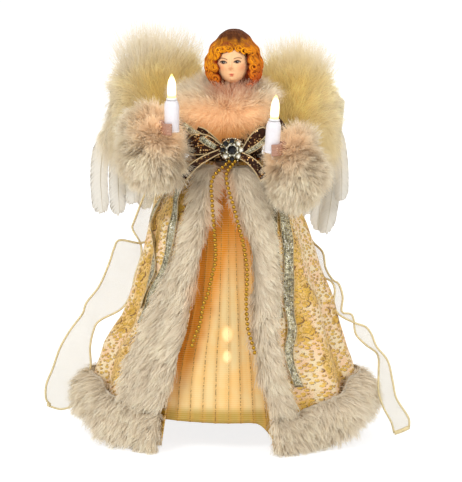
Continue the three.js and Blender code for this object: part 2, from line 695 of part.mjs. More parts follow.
// Knot of the organza sash behind the waist
const sashKnotBack = sashHalfDepth + FIT;

function sashKnot() {
  const knot = ellipsoid(SASH_KNOT_HALF_WIDTH, SASH_KNOT_HALF_DEPTH, SASH_KNOT_HALF_HEIGHT, 12, 8);
  return knot.translate(0, sashKnotBack + SASH_KNOT_HALF_DEPTH, (sashBottom + sashTop) / 2);
}

// Streamers: shares of the reach past the coat and of the drop, share of the half depth behind, and twist in degrees
const leftStreamerShares = [
  [0.09, 0, 0.5, 90], [0.3, 0.02, 0.46, 60], [0.46, 0.08, 0.3, 60], [0.56, 0.17, 0.1, 50], [0.585, 0.24, 0.02, 62],
  [0.58, 0.3, -0.06, 85], [0.64, 0.35, -0.1, 20], [0.72, 0.44, -0.1, 8], [0.74, 0.5, -0.08, 8], [0.77, 0.57, -0.05, -5],
  [0.83, 0.62, 0, -55], [0.88, 0.67, 0.02, -20], [0.985, 0.74, -0.05, -35], [1, 0.82, -0.05, -38],
  [1.01, 0.89, -0.08, -35],
];
const rightStreamerShares = [
  [0.09, 0.02, 0.5, -90], [0.3, 0.04, 0.46, -60], [0.45, 0.1, 0.3, -60], [0.52, 0.2, 0.15, -62], [0.56, 0.27, 0.1, -60],
  [0.6, 0.33, 0.02, -66], [0.65, 0.4, -0.02, -80], [0.67, 0.48, -0.05, -60], [0.69, 0.54, -0.08, -82],
  [0.78, 0.58, -0.1, -110], [0.85, 0.66, -0.12, -120], [0.89, 0.73, -0.14, -70], [0.93, 0.79, -0.15, -50],
  [0.955, 0.86, -0.17, -40], [0.99, 0.93, -0.18, -35], [1, 0.985, -0.2, -10],
];

// Two grids half a thickness each side of a grid, along its normals
function bothSides(grid, thickness) {
  const at = (row, column) => {
    const line = grid[THREE.MathUtils.clamp(row, 0, grid.length - 1)];
    return line[THREE.MathUtils.clamp(column, 0, line.length - 1)];
  };
  return [0.5, -0.5].map((share) =>
    grid.map((line, row) =>
      line.map((spot, column) => {
        const down = at(row + 1, column).clone().sub(at(row - 1, column));
        const across = at(row, column + 1).clone().sub(at(row, column - 1));
        return spot.clone().addScaledVector(across.cross(down).normalize(), share * thickness);
      }),
    ),
  );
}

// A sheer band that hangs free beside the coat and turns on its way down
function streamer(side, spread, rows) {
  const top = (sashBottom + sashTop) / 2;
  const grid = rows.map(([outShare, downShare, backShare, twist], row) => {
    const centre = point(
      side * spread * outShare,
      2 * sashKnotBack * backShare + FIT,
      mix(top, STREAMER_END_HEIGHT, downShare),
    );
    const half = (STREAMER_WIDTH / 2) * Math.min(1, 0.25 + row / 6);
    const across = point(Math.cos(radians(twist)), Math.sin(radians(twist)), 0);
    return [-1, -0.33, 0.33, 1].map((reach) => centre.clone().addScaledVector(across, reach * half));
  });
  return sheet(...bothSides(grid, STREAMER_THICKNESS));
}

// Arms. Each arm's own frame has its origin at the shoulder, on the hinge's axis; places are shares of its reach
const shoulderSide = bodiceHalfWidth + FIT + SLEEVE_CAP_RADIUS;

const arms = {
  left: {
    side: -1,
    leanAngle: 0,
    elbowShares: [-0.302, -0.19, -0.317],
    cuffShares: [-0.402, -0.635, -0.087],
    candleShares: [-0.156, -1, 0.127],
  },
  right: {
    side: 1,
    leanAngle: 4.4,
    elbowShares: [0.349, -0.19, -0.524],
    cuffShares: [0.262, -0.635, -0.357],
    candleShares: [0.003, -1, -0.111],
  },
};

function armPlaces(arm) {
  const [elbow, cuff, candleFoot] = [arm.elbowShares, arm.cuffShares, arm.candleShares].map((spot) =>
    point(...spot).multiplyScalar(ARM_REACH),
  );
  const palm = candleFoot.clone().add(point(arm.side * (SOCKET_RADIUS + HAND_HALF_WIDTH / 2), HAND_HALF_WIDTH, 0));
  const axis = cuff.clone().sub(elbow).normalize();
  return { elbow, cuff, candleFoot, palm, axis };
}

// Matrix of a frame at a place whose +Z runs along an axis and whose +Y stays upright
function uprightFrame(place, axis) {
  const sideways = point(0, 0, 1).cross(axis).normalize();
  const upright = axis.clone().cross(sideways).normalize();
  return new THREE.Matrix4().makeBasis(sideways, upright, axis).setPosition(place);
}

function cuffFrame(arm) {
  const { cuff, axis } = armPlaces(arm);
  return uprightFrame(cuff, axis);
}

// Wire from the torso through sleeve and cuff into the palm
function armRoute(arm, extra = 0) {
  const { elbow, cuff, palm } = armPlaces(arm);
  const inner = point(-arm.side * (SLEEVE_CAP_RADIUS - FIT + extra), 0, 0);
  const wrist = cuff.clone().lerp(palm, 0.55);
  const grip = palm.clone().add(point(0, HAND_HALF_WIDTH + FIT, 0));
  return [inner, point(0, 0, 0), elbow, cuff, wrist, grip];
}

function sleeve(arm) {
  const { elbow, cuff, axis } = armPlaces(arm);
  const end = cuff.clone().addScaledVector(axis, -CUFF_LENGTH / 2 - FIT);
  const path = new THREE.CatmullRomCurve3([point(0, 0, 0), elbow, end]);
  const radiusShares = [[0, SLEEVE_CAP_RADIUS], [0.6, SLEEVE_ELBOW_RADIUS], [1, SLEEVE_END_RADIUS]];
  const rings = shares(5).map((share) => {
    const along = share < 1 ? path.getTangentAt(share) : axis;
    const frame = uprightFrame(path.getPointAt(share), along);
    const radius = readTable(radiusShares, share);
    return shares(12).slice(0, -1).map((turn) => {
      const angle = 2 * Math.PI * turn;
      return point(radius * Math.cos(angle), radius * Math.sin(angle), 0).applyMatrix4(frame);
    });
  });
  const cap = ellipsoid(SLEEVE_CAP_RADIUS, SLEEVE_CAP_RADIUS, SLEEVE_CAP_RADIUS, 12, 8);
  const channel = bar(armRoute(arm, OVERRUN), ARM_WIRE_RADIUS + 2 * FIT, 18, 6);
  const leadChannel = bar(leadRoute(arm, OVERRUN), LEAD_RADIUS + 4 * FIT, 26, 6);
  return cut(joined(loft(rings), cap), channel, leadChannel);
}

function cuffBody(arm) {
  const halfLength = CUFF_LENGTH / 2;
  const bore = CUFF_BORE_RADIUS / CUFF_HALF_WIDTH;
  const outline = [
    [bore, -1], [0.72, -1], [0.96, -0.55], [1, 0], [0.86, 0.6], [0.55, 0.95], [bore, 0.8], [bore, -1],
  ];
  const body = turned(outline, 20).scale(CUFF_HALF_WIDTH, CUFF_HALF_HEIGHT, halfLength);
  const wireRoom = bar(armRoute(arm), ARM_WIRE_RADIUS + 2 * FIT, 18, 6);
  const leadRoom = bar(leadRoute(arm), LEAD_RADIUS + 2 * FIT, 24, 6);
  return cut(body.applyMatrix4(cuffFrame(arm)), wireRoom, leadRoom);
}

// Frame of the candle socket: its foot, leaning sideways
function candleFrame(arm) {
  const { candleFoot } = armPlaces(arm);
  const frame = new THREE.Matrix4().makeRotationY(radians(arm.leanAngle));
  return frame.setPosition(candleFoot.clone().add(point(0, 0, -SOCKET_LENGTH * SOCKET_GRIP_SHARE)));
}

// Palm behind the socket with four fingers and a thumb round it
function hand(arm) {
  const { candleFoot, palm } = armPlaces(arm);
  const block = ellipsoid(HAND_HALF_WIDTH, HAND_HALF_WIDTH, HAND_LENGTH / 2, 10, 8);
  block.translate(palm.x, palm.y, palm.z);
  const ringRadius = SOCKET_RADIUS + FIT + FINGER_RADIUS;
  const outer = Math.atan2(palm.y - candleFoot.y, palm.x - candleFoot.x);
  const digit = (up, sweep) => {
    const route = shares(4).map((share) => {
      const turn = outer + sweep * share;
      return point(
        candleFoot.x + ringRadius * Math.cos(turn),
        candleFoot.y + ringRadius * Math.sin(turn),
        candleFoot.z + up,
      );
    });
    return bar(route, FINGER_RADIUS, 4, 5);
  };
  const span = HAND_LENGTH - 2 * FINGER_RADIUS;
  const fingers = [-0.38, -0.13, 0.12, 0.37].map((share) => digit(span * share, -arm.side * 2.1));
  const thumb = digit(span * 0.3, arm.side * 1.5);
  const whole = joined(block, ...fingers, thumb);
  const wireHole = bar(armRoute(arm), ARM_WIRE_RADIUS + FIT, 18, 6);
  const socketRoom = turned([
    [0, -HAND_LENGTH], [SOCKET_RADIUS + FIT, -HAND_LENGTH], [SOCKET_RADIUS + FIT, HAND_LENGTH], [0, HAND_LENGTH],
  ], 24);
  socketRoom.applyMatrix4(candleFrame(arm));
  return cut(whole, wireHole, socketRoom);
}

// White socket shaped like a candle, with a domed shoulder and a bore for the bulb
function candleSocket() {
  const dome = SOCKET_LENGTH - SOCKET_RADIUS * 0.8;
  const outline = [
    [0, 0],
    [SOCKET_RADIUS, 0],
    [SOCKET_RADIUS, dome],
    [SOCKET_RADIUS * 0.93, mix(dome, SOCKET_LENGTH, 0.55)],
    [SOCKET_BORE_RADIUS * 1.2, SOCKET_LENGTH],
    [SOCKET_BORE_RADIUS, SOCKET_LENGTH],
    [SOCKET_BORE_RADIUS, SOCKET_LENGTH - SOCKET_BORE_DEPTH],
    [0, SOCKET_LENGTH - SOCKET_BORE_DEPTH],
  ];
  return turned(outline, 20);
}

// Bulb base with its flange on the socket and a stem inside the glass
function bulbBase() {
  const plug = SOCKET_BORE_RADIUS - FIT;
  const bottom = FIT - SOCKET_BORE_DEPTH;
  const stem = BULB_GLASS_RADIUS / 3;
  const flangeTop = FIT + BULB_FLANGE_HEIGHT;
  const stemTop = flangeTop + BULB_GLASS_LENGTH / 2;
  return turned([
    [0, bottom], [plug, bottom], [plug, FIT], [BULB_FLANGE_RADIUS, FIT], [BULB_FLANGE_RADIUS, flangeTop],
    [stem, flangeTop], [stem, stemTop], [0, stemTop],
  ], 14);
}

function bulbGlass() {
  const foot = 2 * FIT + BULB_FLANGE_HEIGHT;
  const shapeShares = [[0.92, 0], [1, 0.2], [0.98, 0.5], [0.8, 0.72], [0.4, 0.88], [0.08, 1]];
  const outer = shapeShares.map(([out, up]) => [BULB_GLASS_RADIUS * out, foot + BULB_GLASS_LENGTH * up]);
  const inner = shapeShares.slice(0, 5).map(([out, up]) => [
    BULB_GLASS_RADIUS * out - BULB_GLASS_WALL,
    foot + (BULB_GLASS_LENGTH - 2 * BULB_GLASS_WALL) * up,
  ]);
  return turned([
    [0, inner.at(-1)[1]], ...inner.reverse(), ...outer, [0, foot + BULB_GLASS_LENGTH],
  ], 14);
}

// Lead from the candle's foot back into the sleeve, leaving it under the shoulder on the hinge's axis
function leadRoute(arm, extra = 0) {
  const { elbow, cuff, candleFoot, axis } = armPlaces(arm);
  const low = ARM_WIRE_RADIUS + LEAD_RADIUS + 4 * FIT;
  const foot = candleFoot.clone().add(point(0, 0, -SOCKET_LENGTH * SOCKET_GRIP_SHARE - FIT));
  const bend = foot.clone().add(point(arm.side * LEAD_RADIUS, LEAD_RADIUS, -4 * LEAD_RADIUS));
  const enter = cuff.clone().addScaledVector(axis, CUFF_LENGTH / 2 + OVERRUN).add(point(0, 0, -low));
  const inside = cuff.clone().addScaledVector(axis, -CUFF_LENGTH / 3).add(point(0, 0, -low));
  const atElbow = elbow.clone().add(point(0, 0, -2 * low));
  const turn = elbow.clone().multiplyScalar(0.14).setZ(-mix(low, LEAD_EXIT_DROP, 0.62));
  const nearExit = point(0, 0, -LEAD_EXIT_DROP + LEAD_RADIUS);
  const exit = point(0, 0, -LEAD_EXIT_DROP - extra);
  return [foot, bend, enter, inside, atElbow, turn, nearExit, exit];
}

function buildArm(name, arm) {
  const group = new THREE.Group();
  group.position.set(arm.side * shoulderSide, FIT, shoulderHeight);
  addPiece(group, `arm_wire_${name}`, bar(armRoute(arm), ARM_WIRE_RADIUS, 18, 6), looks.wire);
  addPiece(group, `sleeve_${name}`, sleeve(arm), looks.velvet);
  addPiece(group, `fur_cuff_${name}`, cuffBody(arm), looks.fur);
  addPiece(group, `hand_${name}`, hand(arm), looks.skin);
  addPiece(group, `candle_lead_${name}`, bar(leadRoute(arm), LEAD_RADIUS, 24, 6), looks.lead);
  const candle = new THREE.Group();
  candle.applyMatrix4(candleFrame(arm));
  addPiece(candle, `candle_socket_${name}`, candleSocket(), looks.whitePlastic);
  const bulb = new THREE.Group();
  bulb.position.set(0, 0, SOCKET_LENGTH);
  addPiece(bulb, `bulb_base_${name}`, bulbBase(), looks.whitePlastic);
  addPiece(bulb, `bulb_glass_${name}`, bulbGlass(), looks.glass);
  candle.add(bulb);
  group.add(candle);
  return group;
}

// String of lights inside the skirt: down one side of the cone, across the front and up the other side.
// Each row is an angle, shares of the cone's height and of the lead's radius out from it, and true for a light.
const halfStringShares = [
  [90, 0.981, 0.6], [90, 0.946, 0.6], [90, 0.902, 0.6], [88, 0.78, 1.4], [84, 0.634, 4.6, true],
  [76, 0.488, 4.6, true], [60, 0.361, 5, true],
];
const frontStringShares = [
  [-30, 0.322, 5], [-6, 0.298, 5, true], [6, 0.22, 5, true], [30, 0.273, 5],
];
const stringShares = [
  ...halfStringShares.map(([angle, ...rest]) => [-angle, ...rest]),
  ...frontStringShares,
  ...halfStringShares.slice().reverse(),
];

function conePoint(angle, height, outward) {
  const share = (CONE_TOP_HEIGHT - height) / (CONE_TOP_HEIGHT - CONE_RIM_HEIGHT);
  const radius = mix(CONE_TOP_RADIUS, CONE_RIM_RADIUS, share) + outward;
  return point(radius * Math.sin(radians(angle)), -radius * Math.cos(radians(angle)), height);
}

function skirtLight(place) {
  const radius = SKIRT_SOCKET_RADIUS;
  const top = SKIRT_SOCKET_LENGTH + SKIRT_BULB_LENGTH;
  const bulb = BULB_GLASS_RADIUS;
  return turned([
    [0, 0], [radius, 0], [radius, SKIRT_SOCKET_LENGTH], [bulb, SKIRT_SOCKET_LENGTH],
    [bulb, mix(SKIRT_SOCKET_LENGTH, top, 0.7)], [0, top],
  ], 7).translate(place.x, place.y, place.z);
}

function lightString() {
  const exit = shoulderHeight - LEAD_EXIT_DROP - FIT;
  const overCoat = coatTop + LEAD_RADIUS + FIT;
  const slot = mix(sashBottom, coatTop - UNDERSKIRT_TOP_DROP, 0.55);
  const entries = (side) => [
    point(side * shoulderSide, FIT, exit),
    point(side * shoulderSide, FIT, exit - LEAD_RADIUS),
    point(side * (shoulderSide - LEAD_RADIUS), FIT, mix(exit - LEAD_RADIUS, overCoat, 0.6)),
    point(side * (sashHalfWidth + LEAD_RADIUS + 2 * FIT), FIT, coatTop),
    point(side * (sashHalfWidth - 2 * LEAD_RADIUS), FIT, slot),
  ];
  const places = stringShares.map(([angle, up, out]) =>
    conePoint(angle, CONE_TOP_HEIGHT * up, LEAD_RADIUS * (out + 1)),
  );
  const lights = places.filter((_, row) => stringShares[row][3]).map(skirtLight);
  const route = [...entries(-1), ...places, ...entries(1).reverse()];
  return joined(bar(route, LEAD_RADIUS, 76, 5), ...lights);
}

// Wings. Each wing's own frame has its origin on its hinge axis
function wingBridge() {
  const back = bodiceHalfDepth + FIT;
  const plate = new THREE.BoxGeometry(WING_PLATE_WIDTH, WING_PLATE_THICKNESS, WING_PLATE_HEIGHT);
  plate.translate(0, back + WING_PLATE_THICKNESS / 2, wingHingeHeight);
  const arm = WING_HINGE_BACK - back;
  const pins = [-1, 1].flatMap((side) => {
    const pin = new THREE.CylinderGeometry(WING_PIN_RADIUS, WING_PIN_RADIUS, WING_PIN_LENGTH, 12);
    pin.rotateX(Math.PI / 2).translate(side * WING_HINGE_SIDE, WING_HINGE_BACK, wingHingeHeight);
    const strut = new THREE.BoxGeometry(WING_PIN_RADIUS, arm, WING_PIN_RADIUS);
    strut.translate(side * WING_HINGE_SIDE, back + arm / 2, wingHingeHeight);
    return [pin, strut];
  });
  return joined(plate, ...pins);
}

// A point of a wing's outline, turned about its hinge by the wing's droop
function drooped(wing, [x, z]) {
  const turn = radians(wing.droopAngle);
  return [x * Math.cos(turn) + z * Math.sin(turn), z * Math.cos(turn) - x * Math.sin(turn)];
}

// A flat outline in the wing's plane, of [outward share, up share] pairs, with a thickness front to back
function wingPlate(side, outline, front, back, bulge) {
  const middle = outline.reduce((sum, [x, z]) => [sum[0] + x / outline.length, sum[1] + z / outline.length], [0, 0]);
  const ring = (y, scale) =>
    outline.map(([x, z]) => point(side * mix(middle[0], x, scale), y, mix(middle[1], z, scale)));
  return loft([ring(front, bulge), ring(mix(front, back, 0.35), 1), ring(back, 1)]);
}

function wingBase(wing) {
  const root = WING_PIN_RADIUS + FIT;
  const halfPin = WING_PIN_LENGTH / 2;
  const span = WING_SPAN * wing.reachShare;
  const outline = [
    [span * 0.25, WING_RISE * 0.9], [span * 0.65, WING_RISE], [span, WING_RISE * 0.45],
    [span, -WING_FALL * 0.4], [span * 0.8, -WING_FALL], [span * 0.5, -WING_FALL * 0.7],
  ].map((corner) => drooped(wing, corner));
  const whole = [[root, -halfPin], [root, halfPin], ...outline];
  return wingPlate(wing.side, whole, -WING_BASE_THICKNESS / 2, WING_BASE_THICKNESS / 2, 1);
}

function wingMarabou(wing) {
  const low = -WING_FALL * 0.1;
  const span = WING_SPAN * wing.reachShare;
  const outline = [
    [span * 0.08, low], [span * 0.12, MARABOU_RISE * 0.62], [span * 0.4, MARABOU_RISE * 0.93],
    [span * 0.8, MARABOU_RISE], [span * 1.02, MARABOU_RISE * 0.72], [span * 1.1, MARABOU_RISE * 0.3],
    [span * 1.1, low * 4], [span * 0.75, low * 6], [span * 0.4, low * 5],
  ].map((corner) => drooped(wing, corner));
  const back = -WING_BASE_THICKNESS / 2 - FIT;
  return wingPlate(wing.side, outline, back - MARABOU_DEPTH, back, 0.7);
}

// One long quill feather, flat, rounded at its tip and narrow at its root
function quill(wing, layer) {
  const shapeShares = [
    [0.05, 0], [0.3, -0.1], [0.5, -0.35], [0.5, -0.75], [0.34, -0.93], [0.06, -1],
    [-0.3, -0.94], [-0.5, -0.75], [-0.5, -0.35], [-0.3, -0.1], [-0.05, 0],
  ];
  const rootSide = WING_SPAN * wing.reachShare * (1.02 - 0.19 * layer);
  const rootUp = WING_RISE * (0.2 - 0.2 * layer);
  const tilt = Math.tan(radians(QUILL_SPLAY_ANGLE * layer));
  const outline = shapeShares.map(([across, down]) => {
    const fall = QUILL_LENGTH * wing.lengthShares[layer] * down;
    return drooped(wing, [rootSide + QUILL_WIDTH * across + tilt * fall, rootUp + fall]);
  });
  const front = WING_BASE_THICKNESS / 2 + FIT + layer * (QUILL_THICKNESS + FIT);
  return wingPlate(wing.side, outline, front, front + QUILL_THICKNESS, 1);
}

const wings = {
  left: { side: -1, reachShare: 1, droopAngle: 0, lengthShares: [0.92, 1, 0.98] },
  right: { side: 1, reachShare: 0.96, droopAngle: 6, lengthShares: [0.98, 1.04, 0.95] },
};

function buildWing(name, wing) {
  const group = new THREE.Group();
  group.position.set(wing.side * WING_HINGE_SIDE, WING_HINGE_BACK, wingHingeHeight);
  addPiece(group, `wing_base_${name}`, wingBase(wing), looks.card);
  addPiece(group, `wing_marabou_${name}`, wingMarabou(wing), looks.feather);
  wing.lengthShares.forEach((_, layer) => {
    addPiece(group, `quill_${name}_${layer + 1}`, quill(wing, layer), looks.feather);
  });
  return group;
}

// Mesh ribbon tails and bead strands: angle, share of the coat's height, share of the fur strip's thickness out
const leftOuterRibbonShares = [
  [-60, 0.949, 0.111], [-70, 0.881, 0], [-78, 0.818, 0], [-77, 0.755, 0], [-62, 0.692, 0],
  [-55, 0.634, 0], [-55, 0.586, 0], [-61, 0.484, 0],
];
const leftInnerRibbonShares = [
  [-54, 0.959, 0.111], [-48, 0.896, 0.056], [-45, 0.833, 0.033], [-45, 0.726, 0], [-47, 0.615, 0],
  [-52, 0.533, 0], [-55, 0.436, 0],
];
const rightInnerRibbonShares = [
  [48, 0.969, 0.111], [42, 0.901, 0], [36, 0.799, 0], [33, 0.659, 0], [30, 0.571, 0], [29, 0.47, 0],
];
const rightOuterRibbonShares = [
  [56, 0.959, 0.111], [52, 0.915, 0.089], [50, 0.872, 0.067], [47, 0.799, 0.022], [45, 0.707, 0],
  [42, 0.62, 0], [38, 0.513, 0], [37, 0.421, 0], [33, 0.358, 0], [32.7, 0.295, 0], [35, 0.223, 0],
];
const leftBeadShares = [
  [-12.6, 0.957, 0.389], [-10.7, 0.877, 0.222], [-9.4, 0.814, 0.056], [-8.4, 0.77, 0],
  [-7.5, 0.688, 0], [-9.3, 0.625, 0], [-11, 0.567, 0], [-13.2, 0.528, 0], [-14, 0.467, 0],
  [-16.1, 0.416, 0], [-16.5, 0.378, 0],
];
const rightBeadShares = [
  [-1.6, 0.973, 0.589], [0.4, 0.915, 0.278], [3.1, 0.872, 0.167], [5.8, 0.814, 0.056], [8.9, 0.736, 0],
  [10.1, 0.673, 0], [10.3, 0.634, 0], [9.1, 0.547, 0], [9, 0.465, 0], [9.9, 0.424, 0],
  [11.3, 0.385, 0], [12, 0.354, 0],
];

function buildAngel() {
  const angel = new THREE.Group();
  addPiece(angel, "support_cone", supportCone(), looks.card);
  addPiece(angel, "torso", torso(), looks.foam);
  const bodiceInner = [TORSO_HALF_WIDTH + FIT, TORSO_HALF_DEPTH + FIT];
  addPiece(angel, "bodice", band(...bodiceInner, BODICE_WALL, bodiceBottom, bodiceTop, 28), looks.velvet);
  const sashInner = [bodiceHalfWidth + FIT, bodiceHalfDepth + FIT];
  addPiece(angel, "waist_sash", band(...sashInner, SASH_WALL, sashBottom, sashTop, 28), looks.satin);
  addPiece(angel, "head", head(), looks.painted);
  addPiece(angel, "fur_collar", furCollar(), looks.fur);
  addPiece(angel, "underskirt", underskirt(), looks.organza);
  for (const [name, span] of Object.entries(coatSpans)) {
    const wide = name === "back";
    addPiece(angel, `coat_${name}_panel`, coatPanel(span, wide ? 22 : 15), looks.brocade);
    addPiece(angel, `fur_hem_${name}`, furHem(span, wide ? 22 : 15), looks.fur);
  }
  addPiece(angel, "fur_strip_left", furStrip(leftFrontAngle, leftStripShares), looks.fur);
  addPiece(angel, "fur_strip_right", furStrip(rightFrontAngle, rightStripShares), looks.fur);
  addPiece(angel, "bow_knot", bowKnot(), looks.satin);
  addPiece(angel, "bow_loop_left", bowLoop(-1, BOW_LOOP_REACH_LEFT, BOW_LOOP_LIFT_LEFT), looks.satin);
  addPiece(angel, "bow_loop_right", bowLoop(1, BOW_LOOP_REACH_RIGHT, BOW_LOOP_LIFT_RIGHT), looks.satin);
  addPiece(angel, "bow_tail_left", bowTail(-1, BOW_TAIL_REACH_LEFT), looks.satin);
  addPiece(angel, "bow_tail_right", bowTail(1, BOW_TAIL_REACH_RIGHT), looks.satin);
  addPiece(angel, "mesh_ribbon_left_outer", meshRibbon(leftOuterRibbonShares), looks.meshRibbon);
  addPiece(angel, "mesh_ribbon_left_inner", meshRibbon(leftInnerRibbonShares), looks.meshRibbon);
  addPiece(angel, "mesh_ribbon_right_inner", meshRibbon(rightInnerRibbonShares), looks.meshRibbon);
  addPiece(angel, "mesh_ribbon_right_outer", meshRibbon(rightOuterRibbonShares), looks.meshRibbon);
  addPiece(angel, "brooch_setting", broochSetting(), looks.blackMetal);
  addPiece(angel, "brooch_stone", broochStone(), looks.crystal);
  addPiece(angel, "bead_strand_left", beadStrand(-1, leftBeadShares), looks.bead);
  addPiece(angel, "bead_strand_right", beadStrand(1, rightBeadShares), looks.bead);
  addPiece(angel, "sash_knot", sashKnot(), looks.sheer);
  const leftStreamer = streamer(-1, COAT_HALF_WIDTH_LEFT + STREAMER_REACH_LEFT, leftStreamerShares);
  const rightStreamer = streamer(1, COAT_HALF_WIDTH_RIGHT + STREAMER_REACH_RIGHT, rightStreamerShares);
  addPiece(angel, "streamer_left", leftStreamer, looks.sheer);
  addPiece(angel, "streamer_right", rightStreamer, looks.sheer);
  addPiece(angel, "light_string", lightString(), looks.lead);
  addPiece(angel, "wing_bridge", wingBridge(), looks.wire);
  for (const [name, arm] of Object.entries(arms)) {
    angel.add(buildArm(name, arm));
  }
  for (const [name, wing] of Object.entries(wings)) {
    angel.add(buildWing(name, wing));
  }
  return angel;
}

const group = new THREE.Group();
group.add(buildAngel());

export default group;
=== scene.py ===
import math

import bpy
import numpy as np
from mathutils.kdtree import KDTree
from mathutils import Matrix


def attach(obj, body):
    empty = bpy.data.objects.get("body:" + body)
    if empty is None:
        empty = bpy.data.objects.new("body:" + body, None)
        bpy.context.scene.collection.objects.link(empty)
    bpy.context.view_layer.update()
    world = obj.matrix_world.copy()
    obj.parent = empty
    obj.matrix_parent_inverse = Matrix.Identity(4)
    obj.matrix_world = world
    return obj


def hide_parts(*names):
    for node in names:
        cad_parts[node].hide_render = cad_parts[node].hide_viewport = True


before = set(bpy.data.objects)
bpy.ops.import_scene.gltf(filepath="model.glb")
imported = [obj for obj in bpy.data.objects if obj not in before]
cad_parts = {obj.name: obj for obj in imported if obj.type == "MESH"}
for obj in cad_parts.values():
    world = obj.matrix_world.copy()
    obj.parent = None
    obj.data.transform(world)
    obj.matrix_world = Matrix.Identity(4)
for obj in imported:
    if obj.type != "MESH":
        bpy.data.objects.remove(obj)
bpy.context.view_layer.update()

# Lengths are in millimetres, in materials and lights in metres. Left and right are the viewer's.
MM = 0.001
UP = np.array([0.0, 0.0, 1.0])
SIDES = {"left": -1, "right": 1}

# ---- The photograph's view ----
PIXEL = 0.735
CENTRE_PX, GROUND_PX = 228.5, 434
AIM_PX, FRAME_HEIGHT_PX = (231, 241), 482
TILT = math.radians(10)
DISTANCE = 3000
SENSOR = 36


def spot(px, py, y):
    """The point at depth y that the photograph shows at a pixel."""
    up = (GROUND_PX - py) * PIXEL
    return [(px - CENTRE_PX) * PIXEL, y, (up - y * math.sin(TILT)) / math.cos(TILT)]


def route(rows):
    return np.array([spot(*row) for row in rows])


def make_camera():
    data = bpy.data.cameras.new("camera")
    camera = bpy.data.objects.new("camera", data)
    bpy.context.collection.objects.link(camera)
    x, _, z = spot(*AIM_PX, 0)
    camera.location = (x * MM, -DISTANCE * math.cos(TILT) * MM, (z + DISTANCE * math.sin(TILT)) * MM)
    camera.rotation_euler = (math.pi / 2 - TILT, 0, 0)
    data.sensor_width = SENSOR
    data.lens = SENSOR * DISTANCE / (FRAME_HEIGHT_PX * PIXEL)
    data.clip_end = 100
    bpy.context.scene.camera = camera


make_camera()


# ---- Small number and vector tools ----
def rise(value, start, span):
    """0 to 1 as a value climbs from start over a span."""
    return np.clip((value - start) / span, 0, 1)


def fall(value, start, span):
    """0 to 1 as a value drops from start over a span."""
    return np.clip((start - value) / span, 0, 1)


def look_up(value, rows, column=1):
    return np.interp(value, rows[:, 0], rows[:, column])


def unit(v):
    return v / np.maximum(np.linalg.norm(v, axis=-1, keepdims=True), 1e-9)


def distances(points):
    """How far along a line each of its points lies."""
    return np.concatenate([[0], np.cumsum(np.linalg.norm(np.diff(points, axis=0), axis=1))])


def path_length(points):
    return float(np.linalg.norm(np.diff(points, axis=0), axis=1).sum())


def smooth_path(points, count):
    """Evenly spaced points of a Catmull-Rom curve through the given ones."""
    p = np.asarray(points, float)
    p = np.vstack([2 * p[0] - p[1], p, 2 * p[-1] - p[-2]])
    t = np.linspace(0, 1, 13)[:-1, None]
    parts = []
    for a, b, c, d in zip(p, p[1:], p[2:], p[3:]):
        bend = (2 * a - 5 * b + 4 * c - d) * t**2 + (3 * b - a - 3 * c + d) * t**3
        parts.append(0.5 * (2 * b + (c - a) * t + bend))
    dense = np.vstack(parts + [p[-2:-1]])
    along = distances(dense)
    even = np.linspace(0, along[-1], count)
    return np.stack([np.interp(even, along, dense[:, i]) for i in range(dense.shape[1])], -1)


def waves(p, seed, size):
    """Smooth noise between about -1 and 1 at points, from a few sine waves of a size in mm."""
    rng = np.random.default_rng(seed)
    total = np.zeros(p.shape[:-1])
    for _ in range(6):
        direction = unit(rng.normal(size=3)) * 2 * np.pi / (size * rng.uniform(0.6, 1.5))
        total += np.sin(p @ direction + rng.uniform(0, 2 * np.pi))
    return total / 3


def sway(roots, amount, seed, size, direction):
    return amount * waves(roots, seed, size)[:, None] * np.array(direction, float)


# ---- The surfaces that part.mjs has too ----
COAT_TOP = 206.5
# From the middle of the coat's cloth out to the back of what lies on it
TRIM_BACK = 1.45
# Share of the way down; share of the half width left and right, and of the half depth
SHAPE = np.array([
    [0, 0.29, 0.3, 0.333], [0.05, 0.38, 0.37, 0.43], [0.13, 0.5, 0.485, 0.53], [0.225, 0.56, 0.557, 0.625],
    [0.29, 0.58, 0.608, 0.68], [0.42, 0.65, 0.68, 0.78], [0.5, 0.69, 0.753, 0.833], [0.58, 0.76, 0.794, 0.868],
    [0.665, 0.88, 0.85, 0.903], [0.77, 0.95, 0.92, 0.938], [0.88, 0.98, 0.97, 0.972], [1, 1, 1, 1],
])
SKIRT_SIZE = (100, 97, 72)
FOLD_DEPTH = 3.5
# The coat's lower edge rises at the sides, between two angles
HEM_LIFT, HEM_LIFT_FROM, HEM_LIFT_TO = 20, 32, 165
# Share of the way down, and degrees from the front
LEFT_EDGE = np.array([[0, -18], [0.3, -16], [0.65, -18], [0.74, -23], [0.83, -27], [1, -30]])
RIGHT_EDGE = np.array([[0, 2], [0.11, 5.5], [0.28, 12.5], [0.65, 12], [0.75, 14], [0.83, 17], [1, 19]])
# Degrees: the middle of the opening, the side seams, and half the gap at a seam
OPENING = -3
SEAM, SEAM_GAP = 110, 0.3


def share_down(height):
    return fall(height, COAT_TOP, COAT_TOP)


def skirt(angle, height, out):
    """A point on the skirt's plain form, moved outwards."""
    angle, height, out = np.broadcast_arrays(*(np.asarray(v, float) for v in (angle, height, out)))
    share, turn = share_down(height), np.radians(angle)
    left, right, depth = (size * look_up(share, SHAPE, column) for column, size in enumerate(SKIRT_SIZE, 1))
    width = np.where(np.sin(turn) < 0, left, right)
    return np.stack([(width + out) * np.sin(turn), -(depth + out) * np.cos(turn), height], -1)


def coat(angle, height, out):
    """The same with the coat's ten folds."""
    fold = -FOLD_DEPTH * np.minimum(1, 2 * share_down(height)) * np.cos(np.radians(10 * np.asarray(angle, float)))
    return skirt(angle, height, out + fold)


